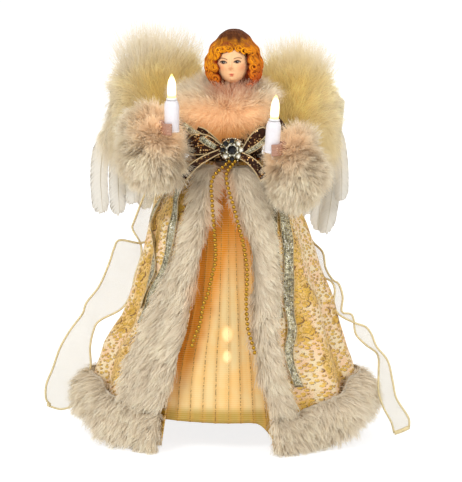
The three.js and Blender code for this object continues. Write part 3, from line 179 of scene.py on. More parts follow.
def hem_height(angle):
    away = np.abs((np.asarray(angle, float) + 180) % 360 - 180)
    return HEM_LIFT * np.sin(np.pi * rise(away, HEM_LIFT_FROM, HEM_LIFT_TO - HEM_LIFT_FROM))


def front_angle(points):
    return np.degrees(np.arctan2(points[:, 0], -points[:, 1]))


# ---- Colours ----
def as_colour(value):
    """Linear colour from numbers, or from a hexadecimal sRGB one."""
    if not isinstance(value, str):
        return np.asarray(value)
    srgb = np.array([int(value[i:i + 2], 16) / 255 for i in (0, 2, 4)])
    return np.where(srgb <= 0.04045, srgb / 12.92, ((srgb + 0.055) / 1.055) ** 2.4)


def blend_colour(a, b, share):
    share = np.clip(np.asarray(share, float), 0, 1)[..., None]
    return as_colour(a) * (1 - share) + as_colour(b) * share


def layered(colour, *layers):
    """A colour with layers of (tint, share) over it."""
    for tint, share in layers:
        colour = blend_colour(colour, tint, share)
    return colour


# ---- Meshes ----
def build_mesh(name, points, faces, colour=None, uv=None, smooth=True):
    """A mesh from points in mm and a list of face arrays; colour is per point, uv per point in metres."""
    mesh = bpy.data.meshes.new(name)
    points = np.asarray(points, float).reshape(-1, 3)
    faces = [np.asarray(f, np.int32) for f in faces if len(f)]
    loops = np.concatenate([f.ravel() for f in faces])
    sizes = np.concatenate([np.full(len(f), f.shape[1]) for f in faces])
    starts = np.concatenate([[0], np.cumsum(sizes)[:-1]])
    mesh.vertices.add(len(points))
    mesh.vertices.foreach_set("co", (points * MM).astype(np.float32).ravel())
    mesh.loops.add(len(loops))
    mesh.loops.foreach_set("vertex_index", loops)
    mesh.polygons.add(len(sizes))
    mesh.polygons.foreach_set("loop_start", starts.astype(np.int32))
    mesh.update(calc_edges=True)
    mesh.polygons.foreach_set("use_smooth", np.full(len(sizes), smooth))
    if colour is not None:
        rgba = np.zeros((len(points), 4), np.float32)
        rgba[:, :np.shape(colour)[-1]] = colour
        mesh.attributes.new("paint", "FLOAT_COLOR", "POINT").data.foreach_set("color", rgba.ravel())
    if uv is not None:
        layer = mesh.uv_layers.new(name="cloth")
        layer.data.foreach_set("uv", np.asarray(uv, np.float32).reshape(-1, 2)[loops].ravel())
    mesh.update()
    return mesh


def piece(name, points, faces, material, nodes=(), body="angel", slot=None, **look):
    """A finished piece in the place of some CAD nodes; slot is not used."""
    mesh = build_mesh(name, points, faces, **look)
    obj = bpy.data.objects.new(name, mesh)
    bpy.context.collection.objects.link(obj)
    mesh.materials.append(MATERIAL[material])
    if nodes:
        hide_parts(*nodes)
    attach(obj, body)
    return obj


def merged(parts):
    """Several (points, faces) as one."""
    points, faces, first = [], [], 0
    for p, f in parts:
        points.append(p)
        faces += [np.asarray(x) + first for x in f]
        first += len(p)
    return np.vstack(points), faces


def joined(name, parts, *rest, **look):
    return piece(name, *merged(parts), *rest, **look)


def grid_faces(rows, columns, wrap=False):
    row = np.arange(rows - 1)[:, None]
    column = np.arange(columns if wrap else columns - 1)[None, :]
    after = (column + 1) % columns
    a, b = row * columns + column, row * columns + after
    return np.stack([a, b, b + columns, a + columns], -1).reshape(-1, 4)


def fan(sides, tip, start=0, flip=False):
    """Triangles from a ring of points to its tip."""
    ring = np.arange(sides)
    a, b = start + ring, start + (ring + 1) % sides
    return np.stack([b, a, np.full(sides, tip)] if flip else [a, b, np.full(sides, tip)], -1)


def grid_normals(grid, wrap=False):
    across = np.roll(grid, -1, 1) - np.roll(grid, 1, 1) if wrap else np.gradient(grid, axis=1)
    return unit(np.cross(across, np.gradient(grid, axis=0)))


def cloth(name, grid, thickness, uv, material, nodes=(), slot=None, wrap=False):
    """A piece that is a closed thin sheet round a grid of points[row][column]."""
    rows, columns = grid.shape[:2]
    normal = grid_normals(grid, wrap) * thickness / 2
    points = np.concatenate([(grid + normal).reshape(-1, 3), (grid - normal).reshape(-1, 3)])
    front = grid_faces(rows, columns, wrap)
    back, last = rows * columns, (rows - 1) * columns
    column = np.arange(columns if wrap else columns - 1)
    after = (column + 1) % columns
    faces = [
        front, front[:, ::-1] + back,
        np.stack([after, column, column + back, after + back], -1),
        np.stack([last + column, last + after, last + after + back, last + column + back], -1),
    ]
    if not wrap:
        left = np.arange(rows - 1) * columns
        low, right = left + columns, left + columns - 1
        under = low + columns - 1
        faces.append(np.stack([left, low, low + back, left + back], -1))
        faces.append(np.stack([under, right, right + back, under + back], -1))
    both = np.concatenate([uv.reshape(-1, 2)] * 2)
    return piece(name, points, faces, material, nodes, slot=slot, uv=both)


def tube(points, radius, sides=8):
    """Points and faces of a closed round bar; radius is one number or one for each point."""
    p = np.asarray(points, float)
    along = unit(np.gradient(p, axis=0))
    helper = np.where(np.abs(along[:, 2:3]) > 0.9, [[0, 1.0, 0]], [[0, 0, 1.0]])
    side = unit(np.cross(along, helper))
    for i in range(1, len(p)):
        side[i] = unit(side[i - 1] - along[i] * (side[i - 1] @ along[i]))
    front = np.cross(along, side)
    turn = (2 * np.pi * np.arange(sides) / sides)[None, :, None]
    reach = np.broadcast_to(np.asarray(radius, float), len(p))[:, None, None]
    rings = p[:, None] + reach * (side[:, None] * np.cos(turn) + front[:, None] * np.sin(turn))
    verts = np.vstack([rings.reshape(-1, 3), p[:1], p[-1:]])
    first, last = len(verts) - 2, len(verts) - 1
    faces = [grid_faces(len(p), sides, True), fan(sides, first, flip=True), fan(sides, last, (len(p) - 1) * sides)]
    return verts, [f[:, ::-1] for f in faces]


def turned(outline, sides, place=(0, 0, 0), lean=0.0):
    """Points and faces of a body turned about +Z from [radius, height] pairs that start and end on the axis."""
    outline = np.asarray(outline, float)
    turn = 2 * np.pi * np.arange(sides) / sides
    ring = outline[1:-1]
    radius, height = ring[:, 0:1], ring[:, 1:2]
    body = np.stack([radius * np.cos(turn), radius * np.sin(turn), height + 0 * turn], -1).reshape(-1, 3)
    verts = np.vstack([body, [[0, 0, outline[0, 1]], [0, 0, outline[-1, 1]]]])
    faces = [
        grid_faces(len(ring), sides, True), fan(sides, len(body), flip=True),
        fan(sides, len(body) + 1, (len(ring) - 1) * sides),
    ]
    c, s = math.cos(lean), math.sin(lean)
    verts = verts @ np.array([[c, 0, -s], [0, 1, 0], [s, 0, c]])
    return verts + np.asarray(place, float), faces


def soft_form(node, voxel, rounds, inset=0.0, scale=1.0):
    """Points, normals and faces of a smoothed copy of a CAD node, drawn in by inset and scaled about its middle."""
    copy = bpy.data.objects.new("form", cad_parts[node].data.copy())
    bpy.context.collection.objects.link(copy)
    remesh = copy.modifiers.new("remesh", "REMESH")
    remesh.mode = "VOXEL"
    remesh.voxel_size = voxel * MM
    soften = copy.modifiers.new("smooth", "SMOOTH")
    soften.iterations = rounds
    soften.factor = 0.5
    mesh = bpy.data.meshes.new_from_object(copy.evaluated_get(bpy.context.evaluated_depsgraph_get()))
    bpy.data.objects.remove(copy)
    points, normals = np.empty(len(mesh.vertices) * 3), np.empty(len(mesh.vertices) * 3)
    mesh.vertices.foreach_get("co", points)
    mesh.vertices.foreach_get("normal", normals)
    corners = [p.vertices[:] for p in mesh.polygons]
    faces = [np.array([c for c in corners if len(c) == n], np.int32).reshape(-1, n) for n in (4, 3)]
    bpy.data.meshes.remove(mesh)
    points, normals = points.reshape(-1, 3) / MM, normals.reshape(-1, 3)
    middle = (points.max(0) + points.min(0)) / 2
    points = middle + (points - middle) * np.asarray(scale)
    return points - normals * inset, normals, faces


# ---- Hair ----
def scatter(rng, points, normals, faces, count):
    """Random places on a surface of quads and triangles, evenly by area, with their normals."""
    quads, tris = faces
    tris = np.vstack([tris, quads[:, [0, 1, 2]], quads[:, [0, 2, 3]]])
    a, b, c = (points[tris[:, i]] for i in range(3))
    area = np.linalg.norm(np.cross(b - a, c - a), axis=1)
    chosen = tris[rng.choice(len(tris), count, p=area / area.sum())]
    u, v = rng.random(count), rng.random(count)
    over = u + v > 1
    u[over], v[over] = 1 - u[over], 1 - v[over]
    w = np.stack([1 - u - v, u, v], -1)[..., None]
    return (points[chosen] * w).sum(1), unit((normals[chosen] * w).sum(1))


def clumped(rng, roots, tips, share, every):
    """Tips drawn towards the tip of the nearest of every nth strand."""
    leaders = rng.choice(len(roots), max(1, len(roots) // every), replace=False)
    tree = KDTree(len(leaders))
    for i, leader in enumerate(leaders):
        tree.insert(roots[leader], i)
    tree.balance()
    nearest = np.array([tree.find(r)[1] for r in roots])
    return tips + (tips[leaders[nearest]] - tips) * share, nearest


def strands(rng, roots, normals, comb, length, width, lift=0.8, droop=0.3, curl=1.8, clump=0.42, every=24, steps=3):
    """Flat tapered hairs: points, faces, share along each, number of each point's hair and each hair's tuft."""
    count = len(roots)
    length = length * rng.uniform(0.45, 1.25, (count, 1))
    start = unit(normals * lift + comb + rng.normal(0, 0.25, (count, 3)))
    end = unit(start * 0.5 + comb * 0.9 - UP * droop + rng.normal(0, 0.2, (count, 3)))
    tips, nearest = clumped(rng, roots, roots + length * (start + end) / 2, clump, every)
    side = unit(np.cross(normals, tips - roots))
    wave = rng.normal(0, curl, (count, 1))
    points, shares = [], []
    for t in np.arange(steps + 1) / steps:
        middle = roots + length * start * t * (1 - t) * 0.5 + (tips - roots) * t + side * wave * math.sin(math.pi * t)
        half = side * width / 2 * (1 - 0.6 * t)
        row = [middle] if t == 1 else [middle - half, middle + half]
        points.append(np.stack(row, 1))
        shares.append(np.full((count, len(row)), t))
    points = np.concatenate(points, 1)
    each = points.shape[1]
    base = np.arange(count)[:, None] * each
    quads = np.concatenate([base + np.array([[0, 1, 3, 2]]) + 2 * s for s in range(steps - 1)])
    tris = base + np.array([[0, 1, 2]]) + 2 * (steps - 1)
    hair = np.repeat(np.arange(count), each)
    return points.reshape(-1, 3), [quads, tris], np.concatenate(shares, 1).ravel(), hair, nearest


# ---- Materials ----
MATERIAL = {}


class Shader:
    """A node material, built with short calls; or the nodes of a tree that is there."""

    def __init__(self, name, tree=None):
        self.name, self.tree = name, tree
        if tree is None:
            self.material = bpy.data.materials.new(name)
            self.material.use_nodes = True
            self.tree = self.material.node_tree
            self.tree.nodes.clear()

    def node(self, kind, sockets=(), **settings):
        made = self.tree.nodes.new("ShaderNode" + kind)
        for key, value in settings.items():
            setattr(made, key, value)
        for key, value in dict(sockets).items():
            self.put(made.inputs[key], value)
        return made

    def put(self, socket, value):
        if isinstance(value, str):
            value = as_colour(value)
        if isinstance(value, bpy.types.NodeSocket):
            self.tree.links.new(value, socket)
        elif socket.type == "RGBA" and len(value) == 3:
            socket.default_value = (*value, 1)
        else:
            socket.default_value = value

    def math(self, operation, *values, clamp=False):
        return self.node("Math", enumerate(values), operation=operation, use_clamp=clamp).outputs[0]

    def mul(self, *values):
        return self.math("MULTIPLY", *values)

    def add(self, *values, **more):
        return self.math("ADD", *values, **more)

    def sub(self, *values):
        return self.math("SUBTRACT", *values)

    def most(self, *values, **more):
        return self.math("MAXIMUM", *values, **more)

    def away(self, value, centre):
        return self.math("ABSOLUTE", self.sub(value, centre))

    def saw(self, value):
        """How far a value is from halfway between two whole numbers."""
        return self.away(self.math("FRACT", value), 0.5)

    def vector(self, operation, *values):
        made = self.node("VectorMath", operation=operation)
        for socket, value in zip(made.inputs, values):
            self.put(socket, value)
        return made.outputs["Vector"]

    def mix(self, share, a, b):
        return self.node("MixRGB", {"Fac": share, "Color1": a, "Color2": b}, blend_type="MIX").outputs[0]

    def layers(self, colour, *layers):
        """A colour with layers of (tint, share) over it."""
        for tint, share in layers:
            colour = self.mix(share, colour, tint)
        return colour

    def ramp(self, value, low, high, a=0.0, b=1.0):
        sockets = {"Value": value, "From Min": low, "From Max": high, "To Min": a, "To Max": b}
        return self.node("MapRange", sockets, interpolation_type="SMOOTHSTEP").outputs[0]

    def drop(self, value, low, high):
        return self.ramp(value, low, high, 1.0, 0.0)

    def noise(self, vector, scale, detail=2.0, output="Fac"):
        return self.node("TexNoise", {"Vector": vector, "Scale": scale, "Detail": detail}).outputs[output]

    def wave(self, vector, scale, distortion, direction):
        sockets = {"Vector": vector, "Scale": scale, "Distortion": distortion}
        return self.node("TexWave", sockets, bands_direction=direction).outputs["Fac"]

    def cells(self, vector, randomness, scale=1.0, dimensions="2D"):
        sockets = {"Vector": vector, "Scale": scale, "Randomness": randomness}
        return self.node("TexVoronoi", sockets, voronoi_dimensions=dimensions).outputs

    def place(self, kind="Object"):
        return self.node("TexCoord").outputs[kind]

    def cloth_mm(self):
        """The cloth's own coordinates, in mm."""
        scaled = self.vector("SCALE", self.place("UV"))
        scaled.node.inputs["Scale"].default_value = 1000.0
        return scaled

    def split(self, vector):
        return self.node("SeparateXYZ", {"Vector": vector}).outputs

    def paint(self, output="Color"):
        return self.node("Attribute", attribute_name="paint").outputs[output]

    def bump(self, height, strength, distance):
        return self.node("Bump", {"Height": height, "Strength": strength, "Distance": distance * MM}).outputs[0]

    def surface(self, **sockets):
        names = {key.replace("_", " ").title().replace("Ior", "IOR"): value for key, value in sockets.items()}
        return self.node("BsdfPrincipled", names).outputs[0]

    def either(self, share, a, b):
        return self.node("MixShader", {0: share, 1: a, 2: b}).outputs[0]

    def thin(self, through, colour, **sockets):
        """A surface that lets a share of the light through."""
        face = self.surface(base_color=colour, specular_ior_level=0.2, **sockets)
        return self.either(through, face, self.node("BsdfTranslucent", {"Color": colour}).outputs[0])

    def open_weave(self, share, face):
        return self.either(share, self.node("BsdfTransparent").outputs[0], face)

    def finish(self, shader):
        self.put(self.node("OutputMaterial").inputs["Surface"], shader)
        MATERIAL[self.name] = self.material
        return self.material


def fur_material(name, through):
    """Soft hair; the paint's alpha sets a painted glow, an emission standing in for light that falls on it."""
    s = Shader(name)
    colour = s.mix(s.ramp(s.noise(s.place(), 900.0), 0.3, 0.7, 0.0, 0.15), s.paint(), (0.6, 0.5, 0.36))
    s.finish(s.thin(
        through, colour, roughness=0.85, sheen_weight=0.15, emission_color=colour,
        emission_strength=s.mul(s.paint("Alpha"), 0.3),
    ))


def plain_material(name, colour, rough=0.5, metal=0.0, grain=0.1, size=400.0, bump=0.2, depth=0.2, **more):
    s = Shader(name)
    place, colour = s.place(), as_colour(colour)
    fine = s.noise(place, size, 4.0)
    base = s.mix(s.ramp(fine, 0.3, 0.7), colour * (1 - grain), np.minimum(1, colour * (1 + grain)))
    s.finish(s.surface(
        base_color=base, roughness=s.ramp(s.noise(place, size / 5), 0.3, 0.7, rough * 0.85, min(1, rough * 1.15)),
        metallic=metal, normal=s.bump(fine, bump, depth), **more,
    ))


def stretched(s, uv, angle, along, across):
    """Pattern coordinates in units of along x across mm, with the long way at an angle."""
    sockets = {"Vector": uv, "Rotation": (0, 0, -math.radians(angle)), "Scale": (1 / along, 1 / across, 1)}
    return s.node("Mapping", sockets, vector_type="POINT").outputs[0]


def woven_dabs(s, flow, seed, size):
    """Leaf-shaped dabs and a broken dark line along one side of each."""
    place = s.vector("ADD", flow, (seed, seed * 0.7, 0))
    cells = s.cells(place, 0.85)
    tone = s.split(cells["Color"])[0]
    reach = s.add(cells["Distance"], s.mul(s.sub(s.noise(place, 5.0), 0.5), 0.22))
    gap = s.sub(reach, s.add(s.mul(tone, 0.2), size))
    side = s.split(s.vector("SUBTRACT", place, cells["Position"]))[1]
    line = s.mul(s.drop(s.away(gap, 0.05), 0.03, 0.075), s.drop(side, -0.12, 0.0))
    return s.drop(gap, -0.05, 0.03), line, tone


def brocade_material():
    """Peach cloth with gold dabs, leaves and scrolls woven in, some with a brown outline, and near-white specks painted
    as glints.
    """
    s = Shader("brocade")
    uv = s.cloth_mm()
    zone = s.noise(s.vector("MULTIPLY", uv, (1 / 30, 1 / 38, 0)), 1.0, 1.0)
    dab, line, tone = woven_dabs(s, stretched(s, uv, 52, 5.2, 2.6), 3.0, 0.22)
    leaf, leaf_line, leaf_tone = woven_dabs(s, stretched(s, uv, 75, 14.0, 7.5), 11.0, 0.16)
    leafy = s.ramp(zone, 0.47, 0.52)
    leaf, leaf_line = s.mul(leaf, leafy), s.mul(leaf_line, leafy)
    place = s.vector("MULTIPLY", uv, (1 / 9.5, 1 / 9.5, 0))
    wobble = s.noise(place, 1.6, 1.0, "Color")
    place = s.vector("ADD", place, s.vector("MULTIPLY", wobble, (0.6, 0.6, 0)))
    cells = s.cells(place, 0.7)
    x, y, _ = s.split(s.vector("SUBTRACT", place, cells["Position"]))
    spiral = s.add(s.mul(s.math("ARCTAN2", y, x), 1 / math.pi), s.mul(cells["Distance"], 3.4))
    scroll = s.mul(s.drop(s.saw(spiral), 0.15, 0.2), s.ramp(zone, 0.53, 0.57))
    gold = s.most(s.most(dab, leaf), scroll, clamp=True)
    fleck = s.ramp(s.noise(uv, 1.7, 1.0), 0.56, 0.62)
    spark = s.ramp(s.noise(uv, 0.9), 0.63, 0.68)
    outline = s.math("MULTIPLY", s.most(line, leaf_line), s.ramp(s.noise(uv, 0.3), 0.36, 0.46), clamp=True)
    dark = s.mul(s.ramp(s.noise(uv, 1.25, 1.0), 0.6, 0.66), s.ramp(s.noise(uv, 0.05), 0.42, 0.6, 0.2, 0.75))
    # Painted glints: near-white specks, more outside the gold zones
    glint = s.mul(spark, s.add(s.mul(s.ramp(zone, 0.44, 0.38), 0.6), 0.45))
    ground = s.layers(
        s.mix(s.ramp(s.noise(uv, 0.09), 0.4, 0.6), "f8d2aa", "f8e4bc"),
        ("e8b850", s.mul(s.ramp(zone, 0.5, 0.56), 0.65)),
        ("cb9a34", s.mul(fleck, s.ramp(zone, 0.4, 0.6, 0.4, 0.7))),
    )
    rich = s.layers(s.mix(tone, "a8750c", "e0b54a"), ("d8a21c", s.mul(leaf_tone, 0.5)), ("f2dc86", s.mul(fleck, 0.5)))
    colour = s.layers(
        ground, (rich, s.mul(gold, 0.92)), ("6c3e24", s.mul(outline, 0.95)), ("8f6a34", dark), ("fff7cf", glint)
    )
    height = s.add(s.mul(gold, 0.7), s.mul(s.wave(uv, 0.35, 0.6, "Y"), 0.3))
    s.finish(s.surface(
        base_color=colour, roughness=s.ramp(gold, 0.0, 1.0, 0.65, 0.42), metallic=s.ramp(gold, 0.0, 1.0, 0.0, 0.3),
        specular_ior_level=0.3, normal=s.bump(height, 0.5, 0.35),
    ))


# The lit spots of the bulbs behind the underskirt: across, up, half width and half height, in metres
LIT_SPOTS = ((-0.001, 0.085, 0.0022, 0.0032), (-0.001, 0.069, 0.0018, 0.0026))
# The opening's left edge lies at x = slope * z - foot
EDGE_SLOPE, EDGE_FOOT = 0.336, 0.0535


def organza_lit_material():
    """Pleated gold organza with painted light: a glow for the bulbs inside it, painted warm orange at its top and
    beside the opening's left edge, and painted shade along its tuck creases.
    """
    s = Shader("lit_organza")
    place = s.place()
    x, y, z = s.split(place)
    ribs = s.wave(place, 210.0, 0.8, "Z")
    patch = s.noise(place, 55.0, 3.0)
    stitch_and_crease_shade = s.saw(s.add(s.split(s.place("UV"))[0], 0.5))
    line = s.mul(s.drop(stitch_and_crease_shade, 0.03, 0.07), s.ramp(s.noise(place, 900.0), 0.4, 0.6))
    left_edge = s.sub(x, s.sub(s.mul(z, EDGE_SLOPE), EDGE_FOOT))
    beside = s.drop(s.add(left_edge, s.mul(s.sub(patch, 0.5), 0.012)), 0.001, 0.015)
    # Painted warm light of the bulbs: deeper orange at the top and beside the opening's left edge
    orange_glow = s.most(s.ramp(z, 0.105, 0.165), s.mul(beside, s.ramp(z, 0.03, 0.07)), clamp=True)
    colour = s.layers(
        s.mix(s.ramp(patch, 0.35, 0.7), "f6dca0", "f4ca80"), ("df8a12", orange_glow), ("c2a04a", s.drop(z, 0.026, 0.034)),
        # Painted shade along the tuck creases, then the real stitch lines
        ("dc9a38", s.ramp(stitch_and_crease_shade, 0.0, 0.4, 0.36, 0.0)), ("8c6226", s.mul(line, 0.85)),
        ("fff0b8", s.ramp(ribs, 0.2, 0.9, 0.0, 0.14)),
    )
    front = s.ramp(y, -0.02, -0.045)
    spots = []
    for cx, cz, wide, tall in LIT_SPOTS:
        dx, dz = s.math("DIVIDE", s.sub(x, cx), wide), s.math("DIVIDE", s.sub(z, cz), tall)
        spots.append(s.mul(s.drop(s.add(s.mul(dx, dx), s.mul(dz, dz)), 0.0, 5.0), front))
    spot_light = s.add(*spots, clamp=True)
    # The painted glow: soft patches and the bulbs' lit spots, stronger at the front
    level = s.add(s.ramp(patch, 0.2, 0.8, 0.04, 0.16), s.mul(spot_light, 0.42))
    s.finish(s.thin(
        0.15, colour, roughness=0.6, normal=s.bump(ribs, 0.25, 0.2),
        emission_color=s.mix(spot_light, colour, (1.0, 0.93, 0.6)),
        emission_strength=s.mul(level, s.ramp(y, 0.03, -0.03, 0.4, 1.0)),
    ))


def velvet_material():
    """Dark brown velvet with scattered gold and copper sequins."""
    s = Shader("velvet")
    place = s.place()
    cells = s.cells(place, 1.0, 700.0, "3D")
    tone, pick, _ = s.split(cells["Color"])
    sequin = s.mul(s.drop(cells["Distance"], 0.3, 0.45), s.ramp(pick, 0.42, 0.48))
    sequin = s.mul(sequin, s.ramp(s.noise(place, 90.0), 0.34, 0.5))
    ground = s.mix(s.noise(place, 300.0), "0d0501", "421e08")
    s.finish(s.surface(
        base_color=s.mix(sequin, ground, s.mix(tone, "c47a30", "ffe2a4")),
        roughness=s.ramp(sequin, 0.0, 1.0, 0.65, 0.25), sheen_weight=0.1, metallic=s.mul(sequin, 0.6),
        specular_ior_level=0.12, normal=s.bump(s.add(sequin, s.noise(place, 1500.0)), 0.4, 0.2),
    ))


def organza_sheer_material():
    """Thin clear organza: mostly see-through, with fine threads."""
    s = Shader("sheer_organza")
    uv = s.cloth_mm()
    weave = s.most(s.wave(uv, 0.45, 0.4, "X"), s.wave(uv, 0.45, 0.4, "Y"))
    colour = s.mix(s.noise(s.place(), 120.0), "ded5bf", "cdbf98")
    s.finish(s.open_weave(s.ramp(weave, 0.3, 1.0, 0.1, 0.34), s.thin(0.4, colour, roughness=0.5, sheen_weight=0.3)))


NET_PITCH, STITCH_PITCH = 0.0013, 0.0032


def mesh_ribbon_material():
    """Open metallic net with dark stitches along both edges, and near-white flecks painted as glints."""
    s = Shader("metallic_mesh")
    place = s.place()
    u, v, _ = s.split(s.place("UV"))
    net = s.most(s.drop(s.saw(s.mul(v, 1 / NET_PITCH)), 0.12, 0.25), s.drop(s.saw(s.mul(u, 5.0)), 0.1, 0.2))
    edge = s.ramp(s.away(u, 0.5), 0.36, 0.42)
    dots = s.mul(edge, s.drop(s.math("FRACT", s.mul(v, 1 / STITCH_PITCH)), 0.4, 0.55))
    colour = s.layers(
        s.mix(s.noise(place, 260.0), "6f7050", "e6dcb6"),
        # Painted glints: near-white flecks on the metal threads
        ((1.0, 0.98, 0.86), s.ramp(s.noise(place, 1100.0), 0.56, 0.62)),
        ("4a483a", s.ramp(s.noise(place, 420.0, 1.0), 0.52, 0.58, 0.0, 0.7)), ("26241a", dots),
    )
    face = s.surface(base_color=colour, roughness=0.35, metallic=0.6, normal=s.bump(net, 0.5, 0.3))
    s.finish(s.open_weave(s.most(s.mul(net, 0.9), s.most(edge, 0.35), clamp=True), face))


def painted_material(name, rough=0.6, coat=0.02, grain=0.08):
    """Painted casting: the colours are on the mesh."""
    s = Shader(name)
    fine = s.noise(s.place(), 500.0, 3.0)
    s.finish(s.surface(
        base_color=s.mix(s.ramp(fine, 0.4, 0.7, 0.0, grain), s.paint(), (0.3, 0.1, 0.03)), roughness=rough,
        specular_ior_level=0.15, coat_weight=coat, coat_roughness=0.3, normal=s.bump(fine, 0.12, 0.1),
    ))


def bulb_material():
    """Lit glass: near white in its middle, yellow towards its foot and tip."""
    s = Shader("bulb_glass")
    z = s.split(s.place("Generated"))[2]
    ends = s.most(s.ramp(z, 0.22, 0.0), s.ramp(z, 0.7, 1.0), clamp=True)
    share = s.add(ends, s.mul(s.noise(s.place(), 300.0), 0.2), clamp=True)
    colour = s.mix(share, (1.0, 0.93, 0.66), (1.0, 0.74, 0.22))
    s.finish(s.surface(base_color=colour, roughness=0.1, emission_color=colour, emission_strength=1.25))


def feather_material():
    s = Shader("feather")
    colour = s.mix(s.ramp(s.noise(s.place(), 700.0), 0.3, 0.7, 0.0, 0.12), s.paint(), (0.7, 0.66, 0.55))
    s.finish(s.thin(0.35, colour, roughness=0.6, sheen_weight=0.2))


# Colour, roughness, metal, grain and its size, bump and its depth
PLAIN = {
    "card": [(0.72, 0.66, 0.54), 0.85, 0.0, 0.1, 260.0],
    "foam": [(0.85, 0.82, 0.75), 0.9, 0.0, 0.1, 500.0, 0.5, 0.4],
    "felt": [(0.8, 0.74, 0.56), 0.95, 0.0, 0.1, 600.0, 0.6, 0.3],
    "gold_wire": ["c9a052", 0.38, 0.75, 0.2, 900.0],
    "gold_cord": ["dccb9c", 0.5, 0.3, 0.25, 1300.0, 0.6, 0.3],
    "gold_bead": ["a8822c", 0.2, 1.0, 0.12, 700.0],
    "ribbon_wire": ["c8b083", 0.45, 0.3, 0.3, 1500.0, 0.4, 0.2],
    "steel_wire": [(0.55, 0.55, 0.55), 0.35, 1.0],
    "brooch_metal": [(0.6, 0.55, 0.42), 0.22, 1.0, 0.3, 900.0],
    "black_stone": [(0.004, 0.004, 0.006), 0.12, 0.0, 0.3, 500.0],
    "clear_stone": [(0.85, 0.82, 0.72), 0.06, 0.6, 0.2, 900.0],
    "white_plastic": [(0.86, 0.84, 0.84), 0.35, 0.0, 0.03, 300.0, 0.05, 0.05],
    "socket_plastic": [(0.86, 0.82, 0.84), 0.35, 0.0, 0.03, 300.0, 0.05, 0.05],
    "lead_cover": [(0.82, 0.78, 0.74), 0.45, 0.0, 0.06, 700.0],
}
SHINE = {
    "black_stone": dict(specular_ior_level=0.3), "clear_stone": dict(coat_weight=1.0),
    "white_plastic": dict(coat_weight=0.3), "socket_plastic": dict(coat_weight=0.3),
}

fur_material("fur", 0.35)
fur_material("fluff", 0.4)
brocade_material()
organza_lit_material()
velvet_material()
organza_sheer_material()
mesh_ribbon_material()
painted_material("painted_resin")
painted_material("painted_hair", 0.7, 0.0, 0.3)
painted_material("painted_hand")
feather_material()
bulb_material()
for plain_name, plain_look in PLAIN.items():
    plain_material(plain_name, *plain_look, **SHINE.get(plain_name, {}))

# ---- Fur ----
FUR = as_colour("fff5e2")
# Painted shade at the hairs' roots, and the painted candle light's peach and amber
FUR_ROOT_SHADE, PEACH, AMBER = "a88f62", "ffdcae", "de9e28"
# Middle and reach of the painted red-brown shade on the collar under the chin
NECK_SHADE, NECK_SHADE_REACH = [2, -14, 262], 12
CANDLES = np.array([[-40.5, -62.7, 252], [31, -62.7, 240]])
CANDLE_REACH = 34.0


def fur_paint(points, share, hair, nearest, glow=None, seed=0):
    """Colour along each hair: painted shade towards its root, some tufts darker, painted red-brown shade under the
    chin, and painted warm light near the candles and the underskirt, whose share in the alpha also sets a painted glow.
    """
    rng = np.random.default_rng(seed)
    tuft = rng.uniform(-0.15, 0.11, nearest.max() + 1)[nearest][hair] + rng.uniform(-0.1, 0.1, len(nearest))[hair]
    # Painted red-brown shade under the chin, less towards the hair tips
    neck = np.clip(1.7 - np.linalg.norm((points - NECK_SHADE) * [0.9, 1, 1], axis=1) / NECK_SHADE_REACH, 0, 1)
    colour = layered(
        FUR_ROOT_SHADE, (FUR * 1.04, 0.5 + 0.58 * share**0.8 + tuft), ("ea9040", neck * (0.85 - 0.6 * share))
    )
    amount = np.zeros(len(points))
    if glow is not None:
        amount, tint = glow(points)
        colour = blend_colour(colour, tint * (0.75 + 0.3 * share[:, None]), amount)
    return np.column_stack([np.clip(colour, 0, 1), amount])


def fur_piece(
    name, node, count, length, comb, seed, body="angel", inset=3.5, glow=None, width=0.5, voxel=2.2, scale=1.0,
    shift=(0, 0, 0), **shape,
):
    """Long pile on a soft core in the place of a CAD node."""
    rng = np.random.default_rng(seed)
    points, normals, faces = soft_form(node, voxel, 4, inset, scale)
    points = points + (shift(points) if callable(shift) else shift)
    points[:, 2] = np.maximum(points[:, 2], 0.6)
    each = len(points)
    # The core is painted like the hairs' roots, in painted shade
    core = fur_paint(points, np.full(each, 0.15), np.arange(each), np.zeros(each, int), glow, seed)
    roots, out = scatter(rng, points, normals, faces, count)
    width = width * 1
    hairs, hair_faces, share, hair, nearest = strands(rng, roots, out, comb(roots), length, width, **shape)
    hairs[:, 2] = np.maximum(hairs[:, 2], 0.3 + 0.4 * rng.random(len(hairs)))
    paint = fur_paint(hairs, share, hair, nearest, glow, seed)
    joined(name, [(points, faces), (hairs, hair_faces)], "fur", [node], body, colour=np.vstack([core, paint]))


# Painted warm light from the candle bulbs on the fur near them
def candle_glow(points):
    near = np.min(np.linalg.norm(points[:, None] - CANDLES[None], axis=2), axis=1)
    return np.clip(1.25 - near / CANDLE_REACH, 0, 1) * 0.75, np.broadcast_to(as_colour(PEACH), points.shape)


# Painted warm candle light on the collar's front and lower part
def collar_glow(points):
    front, low = fall(points[:, 1], -4, 20), fall(points[:, 2], 240, 14)
    amount = (0.3 + 0.7 * front) * np.clip(0.25 + 0.9 * (256 - points[:, 2]) / 14, 0, 1)
    return np.clip(amount, 0, 1) * 0.85, blend_colour(PEACH, AMBER, low * front)


def strip_glow(points):
    """Light from the underskirt on the hairs at the opening, most at the lower left."""
    angle, share = front_angle(points), share_down(points[:, 2])
    left = angle < OPENING
    inside = np.where(left, angle - look_up(share, LEFT_EDGE), look_up(share, RIGHT_EDGE) - angle)
    high = 0.12 + 0.12 * rise(points[:, 2], 150, 40)
    low = np.interp(points[:, 2], [45, 70, 120, 145], [0, 0.8, 0.7, 0]) * left
    amount = np.clip(1 + inside / (5 + 7 * low), 0, 1) * np.maximum(high, low)
    return amount, np.broadcast_to(as_colour("eea53c"), points.shape)


